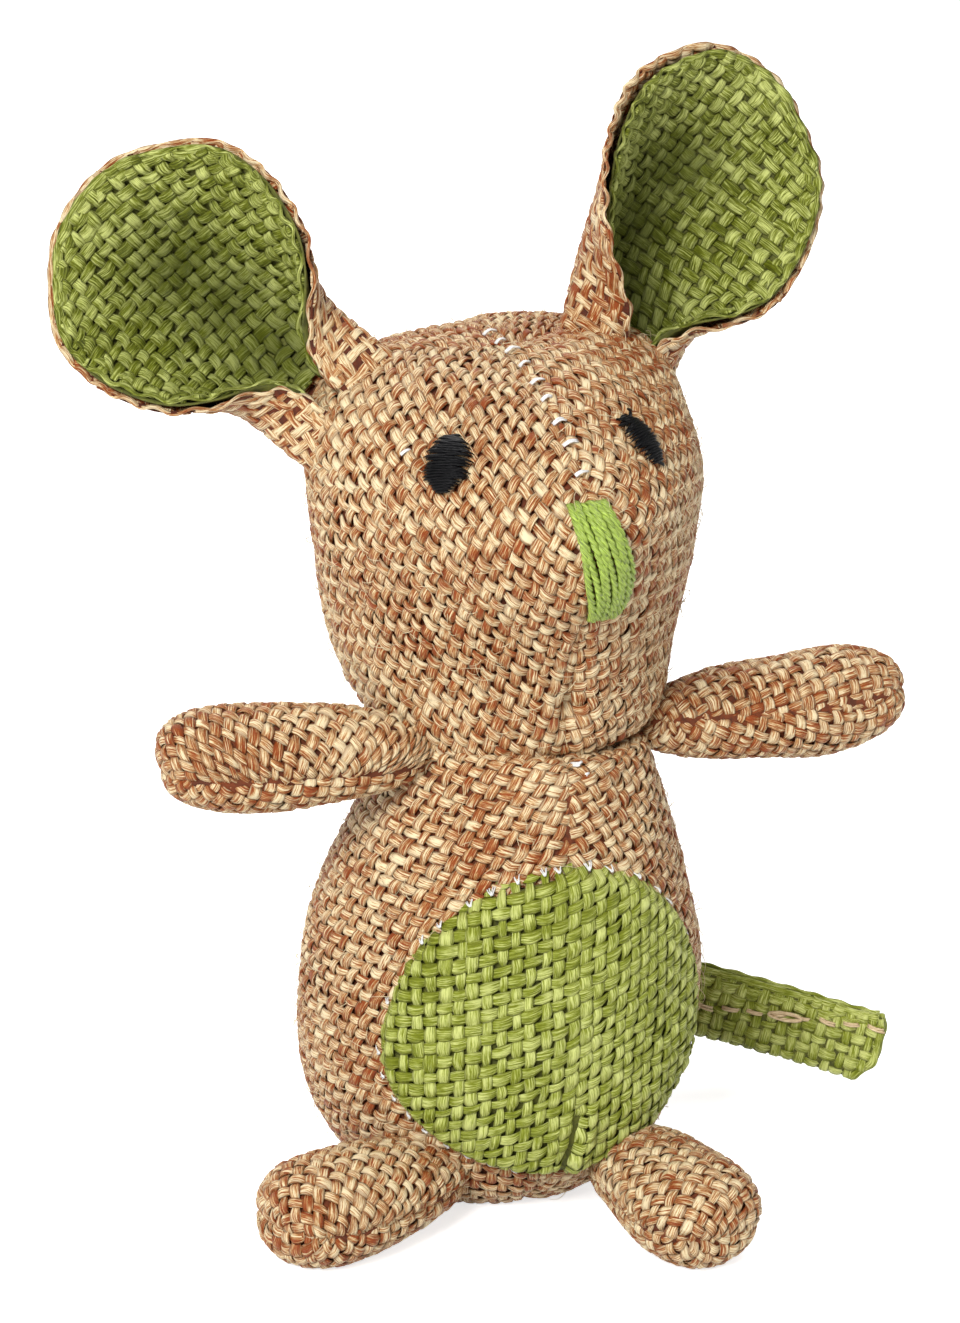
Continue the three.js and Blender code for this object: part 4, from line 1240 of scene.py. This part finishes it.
class MOUSE_OT_ears(bpy.types.Operator):
    """Weaves the ears: a green lining in a larger brown back."""

    bl_idname = "mouse.ears"
    bl_label = "Ears"

    def execute(self, context):
        draws = random_draws(context, 3)
        for name, ear in EARS.items():
            stand = ear_stand(ear)
            join = join_along("head", stand, *EAR["join"])
            for kind, layer in EAR_LAYERS.items():
                self.layer(name, kind, {**ear, **layer}, stand, join, draws)
        return {"FINISHED"}

    @staticmethod
    def layer(name, kind, ear, stand, join, draws):
        """Weaves one layer of an ear over its thin ground."""
        c, lined = colours(), kind == "lining"
        grow, start, lift, shift = (ear[key] for key in ("grow", "start_share", "lift", "shift"))
        place = ear_place(ear, grow)
        room = ear_room(ear, start, grow, shift)
        cloth = spread(place, room, (0, ear["length"] / 2), ear["bias"], CELLS["ear"], half_pitch())
        threads = Threads()
        drop, crimp_share = rim_drop(lift), ear["crimp_share"]
        weave(threads, cloth, stand, draws, lift, drop, tuck=EAR["tuck"], crimp_share=crimp_share)
        for inset, share in EAR["rims"]:
            line = ear_outline(ear, start, grow, inset, shift)
            rim_thread(threads, place, stand, line, lift * share, draws, inset * 90)
        # The lining takes the darker copy of the green yarn, a painted shade.
        yarn = green_yarn("ear_yarn", EAR["painted_shade_dims"]) if lined else brown_yarn()
        # Painted shade darkens the lining round the bottom of its cup.
        shade = cup_shade(ear, place, stand) if lined else None
        piece = threads.piece(f"{name}_{kind}_cloth", yarn, shade)
        show(piece, name, [f"{name}_{kind}"], join)
        low, top = start * ear["length"] + ear["ground_start"], ear["length"] + grow - EAR["ground_top"]

        def flat_at(across, up):
            rise = low + (top - low) * up
            return shift + across * ear_half(ear, rise, grow, EAR["ground_in"], shift), rise

        # The ear back's ground takes the bark brown, a painted shade; the lining's ground takes the grey
        # green under the threads.
        tone = (f"{kind}_backing", c.moss_and_side_shade if lined else c.painted_shade_brown)
        ground, area = sheet_piece(
            f"{name}_{kind}_ground", place, flat_at, stand, ear["ground_lift"], ear["ground"], tone)
        show(ground, name, join=join)
        size = (ear["width"] + 2 * grow, ear["length"] + grow)
        folded_sheet(ground, area, *size, f"head_cloth_{name[4:]}", piece)


def patch_room(points):
    """Room to the edge of the belly patch, an oval on the body's front."""
    across, off, half_power = in_ring(points, body_ring)
    around = np.arctan2(powered(across, half_power / 2), -powered(off, half_power / 2))
    height, turn = points[..., 2] - PATCH["middle"], np.degrees(around) - PATCH["side_degrees"]
    tall = np.where(height > 0, PATCH["upper"], PATCH["lower"])
    share = np.abs(turn / PATCH["half_degrees"]) ** PATCH["power"] + np.abs(height / tall) ** PATCH["power"]
    share = np.maximum(share, 1e-6) ** (1 / PATCH["power"])
    far = np.hypot(np.radians(turn) * BODY["width"] * PATCH["arm_share"], height)
    return far * (1 / np.maximum(share, 0.02) - 1)


def patch_spot(form, turn, out):
    """Spots of the patch's oval on the body: turn round it and share of the way to its edge."""
    rise, aside = (powered(part(turn), 2 / PATCH["power"]) * out for part in (np.sin, np.cos))
    around = np.radians(aside * PATCH["half_degrees"] + PATCH["side_degrees"])
    height = PATCH["middle"] + rise * np.where(rise > 0, PATCH["upper"], PATCH["lower"])
    return form.settle(on_front(body_ring, around, height))


class MOUSE_OT_patch(bpy.types.Operator):
    """Weaves the green patch on the belly."""

    bl_idname = "mouse.patch"
    bl_label = "Belly patch"

    def execute(self, context):
        form, draws, threads = form_of("body"), random_draws(context, 4), Threads()
        start, bias, skew = (PATCH[key] for key in ("start", "bias", "skew"))
        cloth = drape(form, start, bias, CELLS["patch"], half_pitch(), patch_room, SLACK["small"], skew)
        weave(threads, cloth, form.stand, draws, PATCH["lift"], self.drop, PATCH["tuck"], low=0.0)
        piece = threads.piece("belly_patch_cloth", green_yarn())
        show(piece, "body", ["belly_patch"])
        bm = bmesh.new()
        bmesh.ops.create_uvsphere(bm, u_segments=64, v_segments=20, radius=1)
        ways = spots_of(bm)
        out = np.sqrt(np.clip(1 - ways[:, 2] ** 2, 0, 1)) * PATCH["ground_share"]
        points = patch_spot(form, np.arctan2(ways[:, 1], ways[:, 0]), out)
        points = points + form.normal(points) * (PATCH["ground_lift"] + PATCH["ground"] * ways[:, 2:3])
        points[:, 2] = np.maximum(points[:, 2], PATCH["ground_floor"])
        put(bm, points)
        ground = finished(bm, "belly_patch_ground", backing("lining_backing", colours().moss_and_side_shade))
        show(ground, "body")
        return {"FINISHED"}

    @staticmethod
    def drop(room, point):
        """Turns the patch in at its edge and draws its dart in."""
        x, _, z = split(point)
        crease = x - DART["side"] - DART["slant"] * (z - DART["height"])
        dart = DART["depth"] * hump(crease, DART["width"])
        dart = dart - DART["fold"] * hump(crease - DART["aside"], DART["spread"])
        hem = PATCH["hem"] * (1 - ease((room + PATCH["hem_past"]) / PATCH["hem_width"]))
        return hem + dart * ease((DART["top"] - z) / DART["fade"])


def tail_path(share):
    """Points of the tail's run, from its root on the body's back to its end."""
    run = np.stack([
        TAIL["reach"] * spline(TAIL["reach_shares"], share),
        TAIL["bow"] * spline(TAIL["bow_shares"], share),
        -TAIL["drop"] * spline(TAIL["drop_shares"], share),
    ], -1)
    return run + np.array(TAIL["root"], float)


def tail_end(across, long):
    """Where the tail ends, which is cut at a slant beside its fold."""
    return long - TAIL["slant"] * np.maximum(TAIL["fold_end"] - np.abs(across), 0)


def tail_place():
    """Points and normals of the folded strap: round its lower fold and up both sides."""
    shares = np.linspace(0, 1, 801)
    gone = travelled(tail_path(shares))
    half = (TAIL["thickness"] - TAIL["sheet"]) / 2
    fold = half * np.pi / 2

    def place(across, along):
        share = np.interp(along, gone, shares)
        nudge = 0.004
        ahead = unit(tail_path(np.minimum(share + nudge, 1)) - tail_path(np.maximum(share - nudge, 0)))
        up = np.broadcast_to(np.array([0.0, 0, 1]), ahead.shape)
        up = unit(up - ahead * (up * ahead).sum(-1, keepdims=True))
        side = np.cross(ahead, up)
        bend = np.clip(across / half, -np.pi / 2, np.pi / 2)
        rise = np.maximum(np.abs(across) - fold, 0)
        level = -TAIL["width"] / 2 + half * (1 - np.cos(bend)) + rise
        curl = ease((level - TAIL_CURL["low"]) / TAIL_CURL["tall"])
        curl = curl * ease((along - gone[-1]) / TAIL_CURL["run"] + 1)
        closed = ease((level - TAIL_CURL["close_low"]) / TAIL_CURL["close_tall"])
        out = half * np.sin(bend) * (1 - TAIL_CURL["closed_share"] * closed) + TAIL_CURL["out"] * curl
        past = along - np.clip(along, 0, gone[-1]) - TAIL_CURL["back"] * curl**2
        middle = tail_path(share) + ahead * past[..., None]
        spot = middle + side * out[..., None] + up * (level + TAIL_CURL["up"] * curl)[..., None]
        return spot, unit(side * np.sin(bend)[..., None] - up * np.cos(bend)[..., None])

    return place, fold + TAIL["width"] - 2 * half, gone[-1]


class MOUSE_OT_tail(bpy.types.Operator):
    """Weaves the tail, a strap folded along its length."""

    bl_idname = "mouse.tail"
    bl_label = "Tail"

    def execute(self, context):
        draws, threads, stand = random_draws(context, 5), Threads(), Frame()
        place, half_width, long = tail_place()

        def room(across, along):
            return np.minimum.reduce([half_width - np.abs(across), along, tail_end(across, long) - along])

        cloth = spread(place, room, (0, long / 2), TAIL["bias"], CELLS["tail"], half_pitch())
        weave(threads, cloth, stand, draws, TAIL["lift"], lambda room, point: 0 * room, tuck=TAIL["tuck"])
        rim = (TAIL["rim_lift"], draws)
        for sign in (1, -1):
            for inset in TAIL["rims"]:
                aside = sign * (half_width - inset)
                line = [[aside, 0], [aside, long - TAIL["side_rim_end"]]]
                rim_thread(threads, place, stand, line, *rim, 300 + sign * 9 * inset, TAIL["wavy"])
        level = np.linspace(-half_width, half_width, 40)
        line = np.stack([level, tail_end(level, long) - TAIL["end_rim"]], -1)
        rim_thread(threads, place, stand, line, *rim, 350, TAIL["wavy"])
        piece = threads.piece("tail_cloth", green_yarn())
        show(piece, "tail", ["tail"], TAIL_JOIN)

        def flat_at(across, up):
            across = across * (half_width - TAIL["ground_in"])
            return across, up * (tail_end(across, long) - TAIL["ground_in"])

        tone = ("lining_backing", colours().moss_and_side_shade)
        ground, area = sheet_piece(
            "tail_ground", place, flat_at, stand, TAIL["ground_lift"], TAIL["ground"], tone, 40)
        show(ground, "tail", join=TAIL_JOIN)
        folded_sheet(ground, area, 2 * half_width, long, "body_cloth_left", piece)
        return {"FINISHED"}


class MOUSE_OT_face(bpy.types.Operator):
    """Stitches the eyes and the nose."""

    bl_idname = "mouse.face"
    bl_label = "Eyes and nose"

    def execute(self, context):
        c, draws, form = colours(), random_draws(context, 6), form_of("head")
        black = sewing_thread("black_strands", (0.0005,) * 3, shaded(c.black, 0.5), 0.3, 0.14)
        green = sewing_thread("green_strands", shaded(c.floss, 0.2), shaded(c.floss, 1.5))
        for name, eye in EYES.items():
            threads, place = Threads(5), self.eye_place(form, eye)
            for row in range(EYE["rows"]):
                rise = (row + 0.5) / EYE["rows"] * 2 - 1
                half = eye["width"] / 2 * math.sqrt(max(1 - rise * rise, EYE["least_share"]))
                half *= 1 + draws.uniform(*EYE["length_range"])
                self.stitch(threads, form, place, rise, half, eye["tall"] / 2, draws, row)
            for tuft in eye.get("tufts", ()):
                self.tuft(threads, form, place, tuft)
            show(threads.piece(f"{name}_floss", black), "head", [name], NECK_JOIN)
        threads = Threads(6)
        for sunk, count in NOSE["layers"]:
            for strand in range(count):
                self.wrap(threads, form, strand, count, draws, sunk)
        show(threads.piece("nose_floss", green), "head", ["nose"], NECK_JOIN)
        return {"FINISHED"}

    @staticmethod
    def eye_place(form, eye):
        """An eye's middle on the head, and the ways out of it, to its right and up."""
        turn = eye["sign"] * math.radians(eye["side"])
        middle = form.settle(on_front(head_ring, turn, np.array(eye["height"])))
        normal = form.normal(middle)
        right = unit(np.cross((0, 0, 1), normal))
        return middle, normal, right, np.cross(normal, right)

    @staticmethod
    def stitch(threads, form, place, rise, half, half_tall, draws, row):
        """One satin stitch across an eye."""
        middle, _, right, up = place
        along = np.linspace(-1, 1, 9)
        level = rise * half_tall + draws.normal(0, EYE["ragged"]) * along
        spots = form.settle(middle + right * (along * half)[:, None] + up * level[:, None])
        crown = math.sqrt(max(1 - rise * rise, 0)) * EYE["crown"]
        lift = EYE["lift"] + crown * (1 - along**4) - EYE["ends"] * np.abs(along) ** 8
        normals = form.normal(spots)
        path = form.stand.out(spots + normals * lift[:, None])
        taper = EYE["radius"] * (1 - EYE["taper"] * np.abs(along) ** 4)
        threads.strand(path, form.stand.along(normals), taper, taper * EYE["flat_share"], row)

    @staticmethod
    def tuft(threads, form, place, tuft):
        """A loose end of floss that stands off the eye, from one flat spot to another."""
        middle, normal, right, up = place
        spots = (middle + right * tuft[k] + up * tuft[k + 1] for k in (0, 2))
        start, end = (spot + normal * EYE["tuft_lift"] for spot in spots)
        path = form.stand.out(bow(start, end, normal * EYE["tuft_rise"]))
        normals = np.broadcast_to(form.stand.along(normal), path.shape)
        wide, thick = EYE["tuft"]
        taper = 1 - EYE["tuft_taper"] * np.linspace(0, 1, len(path))
        threads.strand(path, normals, wide * taper, thick, 90)

    @staticmethod
    def wrap(threads, form, strand, count, draws, sunk):
        """One two-ply strand of the nose, from its upper end over the snout to its lower end."""
        share = (strand + 0.5) / count
        along = np.linspace(0, 1, NOSE["points"])
        height = NOSE["height"] - NOSE["tall"] * (along - 0.5) + draws.normal(0, NOSE["ragged"])
        centre = spline(NOSE["shift_shares"], along) * NOSE["width"]
        half = spline(NOSE["half_shares"], along) * NOSE["width"]
        across = centre + half * (2 * share - 1)
        across = across + NOSE["sway"] * np.sin(along * NOSE["sways"] + 2 * strand)
        side, front, _, middle, power, _ = head_ring(height)
        y = middle - front * np.maximum(1 - (np.abs(across) / side) ** power, 0) ** (1 / power)
        spots = form.settle(np.stack([across, y, height], -1))
        normals = form.normal(spots, NOSE["smooth"])
        crown = np.sin(np.pi * np.clip(along, 0.002, 0.998)) ** NOSE["blunt"]
        bulge = NOSE["bulge"] * spline(NOSE["bulge_shares"], share)
        lift = NOSE["root"] + crown * (NOSE["rise"] + bulge - sunk)
        base = spots + normals * lift[:, None]
        side_way = unit(np.cross(unit(np.gradient(base, axis=0)), normals))
        start = draws.uniform(0, NOSE["start"])
        for ply in (0, 1):
            turn = (along * 2 * np.pi * NOSE["turns"] + ply * np.pi + start)[:, None]
            path = base + NOSE["ply"] * (side_way * np.cos(turn) + normals * np.sin(turn))
            threads.lay(form.stand, path, normals, NOSE["radius"], 3 * strand + ply)


def bow(start, end, rise):
    """Points of a small arch from one spot to another, standing off along a normal."""
    share = np.linspace(0, 1, STITCH["points"])[:, None]
    return start * (1 - share) + end * share + rise * np.sin(np.pi * share)


class MOUSE_OT_stitches(bpy.types.Operator):
    """Sews the white stitches of the head, neck and patch and the tan ones of the tail."""

    bl_idname = "mouse.stitches"
    bl_label = "Stitches"

    def execute(self, context):
        c, draws = colours(), random_draws(context, 7)
        white = sewing_thread("white_thread", shaded(c.white, 0.6), c.white)
        tan = sewing_thread("tan_thread", shaded(c.tan, 0.6), c.straw)
        show(self.head_seam(draws).piece("head_stitches", white), "head", join=NECK_JOIN)
        show(self.patch_edge(draws).piece("patch_stitches", white), "body")
        show(self.tail_run(draws).piece("tail_stitches", tan), "tail", join=TAIL_JOIN)
        return {"FINISHED"}

    @staticmethod
    def small(threads, stand, start, end, normal, draws, which, rise, radius):
        """One short stitch of two strands side by side."""
        for strand in range(2):
            aside = unit(np.cross(end - start, normal)) * (strand - 0.5) * STITCH["apart"] * radius
            path = bow(start + aside, end + aside + draws.normal(0, STITCH["ragged"], 3), normal * rise)
            threads.lay(stand, path, normal, radius, which + strand)

    def head_seam(self, draws):
        """The stitches up the middle of the head, and a speck of thread beside an eye."""
        form, threads = form_of("head"), Threads(5)
        sewn = HEAD_SEAM
        for k in range(sewn["count"]):
            angle = math.radians(sewn["first"] + sewn["step"] * k + draws.normal(0, sewn["uneven"]))
            spot = form.settle(form.middle + np.array([0, -math.cos(angle), math.sin(angle)]) * GUESS)
            normal = form.normal(spot)
            half = np.array(sewn["half"]) + (draws.uniform(0, sewn["longer"]), 0, 0)
            base = spot - normal * sewn["sunk"]
            ends = (base - half, base + half)
            self.small(threads, form.stand, *ends, normal, draws, 3 * k, sewn["rise"], sewn["radius"])
        speck = form.settle(np.array(SPECK["place"]))
        ends, normal = (speck + end for end in np.array(SPECK["ends"])), form.normal(speck)
        self.small(threads, form.stand, *ends, normal, draws, 50, SPECK["rise"], SPECK["radius"])
        return threads

    def patch_edge(self, draws):
        """The forked stitches round the patch and the loose loops at the neck."""
        form, threads, sewn, loops = form_of("body"), Threads(5), PATCH_SEAM, NECK_LOOPS
        for k in range(sewn["count"]):
            turn = 2 * math.pi * (k + draws.uniform(-sewn["uneven"], sewn["uneven"])) / sewn["count"]
            if draws.uniform() < sewn["missing_share"]:
                continue
            inner, outer = sewn["reach_shares"]
            outer = outer + draws.uniform(0, sewn["longer"])
            spots = [patch_spot(form, turn, out) for out in (inner, outer)]
            normal = form.normal(spots[0])
            start, end = spots[0] + normal * sewn["lift"], spots[1] - normal * sewn["sunk"]
            aside = unit(np.cross(end - start, normal)) * sewn["fork"]
            for strand, lean in enumerate((-1, 1)):
                ends, which = (start, end + aside * lean), 9 * k + 3 * strand
                self.small(threads, form.stand, *ends, normal, draws, which, sewn["rise"], sewn["radius"])
        for k, spot in enumerate(np.array(loops["places"])):
            end = spot + draws.normal(0, loops["uneven"], 3) + loops["run"]
            ends, out = (spot, end), np.array(loops["out"])
            self.small(threads, form.stand, *ends, out, draws, 200 + 3 * k, loops["rise"], loops["radius"])
        return threads

    def tail_run(self, draws):
        """The running stitch that wanders along the tail, with one flat loop of it."""
        threads, (place, _, long), sewn = Threads(5), tail_place(), TAIL_SEAM
        first_loop, last_loop = sewn["loop_shares"]
        for k, along in enumerate(np.arange(sewn["start"], long - sewn["spare"], sewn["step"])):
            share = along / long
            level = np.interp(share, sewn["place_shares"], sewn["levels"]) + draws.normal(0, sewn["uneven"])
            levels = np.array([level, level + draws.normal(0, sewn["slant"])])
            points, normals = place(levels, np.array([along, along + sewn["length"]]))
            spots, normal = points + normals * sewn["lift"], normals[0]
            self.small(threads, Frame(), *spots, normal, draws, 3 * k, sewn["rise"], sewn["radius"])
            if first_loop < share < last_loop:
                ahead = spots[1] - spots[0]
                turn = np.linspace(*LOOP["turn"], 44)[:, None]
                middle = spots[0] + ahead * LOOP["middle_share"]
                slim = LOOP["slim"] + LOOP["widen"] * np.sin(turn / 2)
                hoop = middle - ahead * LOOP["long_share"] * np.cos(turn)
                hoop = hoop + np.cross(normal, ahead) * slim * np.sin(turn)
                hoop = hoop + normal * (LOOP["lift"] + LOOP["rise"] * np.sin(turn / 2) ** 2)
                threads.lay(Frame(), hoop, normal, LOOP["radius"], 3 * k)
        return threads


class MOUSE_OT_fluff(bpy.types.Operator):
    """Scatters the short stray fibres that stand off the cloth."""

    bl_idname = "mouse.fluff"
    bl_label = "Stray fibres"

    def execute(self, context):
        draws, light = random_draws(context, 8), tuple(colours().straw)
        look = sewing_thread("stray_fibre", shaded(light, 0.6), light, 0.6, 0.2)
        for body, join in (("head", NECK_JOIN), ("body", None)):
            form, threads = form_of(body), Threads(3)
            for k in range(FIBRES["count"]):
                spot = form.settle(form.middle + unit(draws.normal(0, 1, 3)) * GUESS)
                if FIBRES["lowest"] < spot[2] < FIBRES["highest"][body]:
                    self.hair(threads, form, spot, form.normal(spot), draws, k)
            show(threads.piece(f"{body}_fibres", look), body, join=join)
        return {"FINISHED"}

    @staticmethod
    def hair(threads, form, spot, normal, draws, which):
        """One fibre that leaves the cloth, bends over and comes back."""
        side = unit(np.cross(normal, draws.normal(0, 1, 3)))
        share = np.linspace(0, 1, 6)[:, None]
        reach, rise = draws.uniform(*FIBRES["reach"]), draws.uniform(*FIBRES["rise"])
        bend = unit(np.cross(side, normal)) * draws.normal(0, FIBRES["bend"])
        path = spot + side * reach * share + normal * rise * np.sin(FIBRES["arch"] * share) + bend * share**2
        threads.lay(form.stand, path, normal, FIBRES["radius"] * (1 - FIBRES["taper"] * share[:, 0]), which)


class MOUSE_OT_stage(bpy.types.Operator):
    """Sets the floor, the lamps and the camera."""

    bl_idname = "mouse.stage"
    bl_label = "Stage"

    def execute(self, context):
        scene = context.scene
        scene.view_settings.view_transform = "Standard"
        self.floor()
        self.lamps(scene)
        self.camera(scene)
        return {"FINISHED"}

    @staticmethod
    def floor():
        """A white floor that looks brighter to the camera than it lights the mouse."""
        made = Nodes("white_floor")
        ray = made.add("ShaderNodeLightPath").outputs
        seen = made.math("MAXIMUM", ray["Is Camera Ray"], ray["Is Glossy Ray"])
        plain = made.add("ShaderNodeBsdfDiffuse", {"Color": (0.8, 0.8, 0.8, 1)})
        strength = made.math("MULTIPLY", seen, FLOOR["glow"])
        glow = made.add("ShaderNodeEmission", {"Color": (1, 1, 1, 1), "Strength": strength})
        both = made.add("ShaderNodeAddShader", {0: plain.outputs[0], 1: glow.outputs[0]})
        bm = bmesh.new()
        bmesh.ops.create_grid(bm, x_segments=1, y_segments=1, size=FLOOR["half"])
        finished(bm, "floor", made.shown(both.outputs[0]), smooth=False)

    @staticmethod
    def lamps(scene):
        """A world that looks white but lights less, and three area lamps."""
        world = bpy.data.worlds.new("studio")
        world.use_nodes = True
        tree = world.node_tree
        back = tree.nodes["Background"]
        path, mix, seen = (tree.nodes.new(f"ShaderNode{kind}") for kind in ("LightPath", "Mix", "Math"))
        seen.operation = "MAXIMUM"
        tree.links.new(path.outputs["Is Camera Ray"], seen.inputs[0])
        tree.links.new(path.outputs["Is Transmission Ray"], seen.inputs[1])
        tree.links.new(seen.outputs[0], mix.inputs[0])
        mix.inputs[2].default_value, mix.inputs[3].default_value = WORLD_LIGHT, 1.0
        tree.links.new(mix.outputs[0], back.inputs["Strength"])
        back.inputs["Color"].default_value = (1, 1, 1, 1)
        scene.world = world
        for name, place, size, power in LAMPS:
            light = bpy.data.lights.new(name, "AREA")
            light.size, light.energy = size, power
            lamp = bpy.data.objects.new(name, light)
            lamp.location = place
            lamp.rotation_euler = (Vector(LAMP_AIM) - Vector(place)).to_track_quat("-Z", "Y").to_euler()
            scene.collection.objects.link(lamp)

    @staticmethod
    def camera(scene):
        """The camera, which looks from the mouse's right, a little from above."""
        around, rise, roll = (math.radians(CAMERA[key]) for key in ("around", "rise", "roll"))
        level = math.cos(rise)
        back = Vector((math.sin(around) * level, -math.cos(around) * level, math.sin(rise)))
        right = Vector((math.cos(around), math.sin(around), 0))
        up = back.cross(right)
        turned_right = right * math.cos(roll) + up * math.sin(roll)
        right, up = turned_right, up * math.cos(roll) - right * math.sin(roll)
        lens = bpy.data.cameras.new("camera")
        lens.lens, lens.sensor_width, lens.sensor_fit = CAMERA["lens"], 36, "AUTO"
        lens.clip_start = 0.01
        camera = bpy.data.objects.new("camera", lens)
        camera.matrix_world = Matrix((*zip(right, up, back, CAMERA["place"]), (0, 0, 0, 1)))
        scene.collection.objects.link(camera)
        scene.camera = camera


class MOUSE_PT_panel(bpy.types.Panel):
    """Lists the mouse's pieces in the sidebar."""

    bl_label = "Catnip mouse"
    bl_idname = "MOUSE_PT_panel"
    bl_space_type = "VIEW_3D"
    bl_region_type = "UI"
    bl_category = "Catnip mouse"

    def draw(self, context):
        for group in (context.scene.mouse_cloth, context.scene.mouse_colours):
            for name in group.__annotations__:
                self.layout.prop(group, name)
        for maker in MAKERS:
            self.layout.operator(maker.bl_idname)


MAKERS = (
    MOUSE_OT_stage, MOUSE_OT_head, MOUSE_OT_body, MOUSE_OT_pouch, MOUSE_OT_limbs, MOUSE_OT_ears,
    MOUSE_OT_patch, MOUSE_OT_tail, MOUSE_OT_face, MOUSE_OT_stitches, MOUSE_OT_fluff,
)
CLASSES = (MOUSE_PG_cloth, MOUSE_PG_colours, *MAKERS, MOUSE_PT_panel)


def register():
    """Registers the classes and hangs the settings on the scene."""
    for made in CLASSES:
        bpy.utils.register_class(made)
    bpy.types.Scene.mouse_cloth = bpy.props.PointerProperty(type=MOUSE_PG_cloth)
    bpy.types.Scene.mouse_colours = bpy.props.PointerProperty(type=MOUSE_PG_colours)


def unregister():
    """Takes back what register does."""
    del bpy.types.Scene.mouse_cloth, bpy.types.Scene.mouse_colours
    for made in reversed(CLASSES):
        bpy.utils.unregister_class(made)


def main():
    """Makes every piece in order."""
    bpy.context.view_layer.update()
    register()
    bpy.ops.mouse.stage()
    bpy.ops.mouse.head()
    bpy.ops.mouse.body()
    bpy.ops.mouse.pouch()
    bpy.ops.mouse.limbs()
    bpy.ops.mouse.ears()
    bpy.ops.mouse.patch()
    bpy.ops.mouse.tail()
    bpy.ops.mouse.face()
    bpy.ops.mouse.stitches()
    bpy.ops.mouse.fluff()


if __name__ == "__main__":
    main()
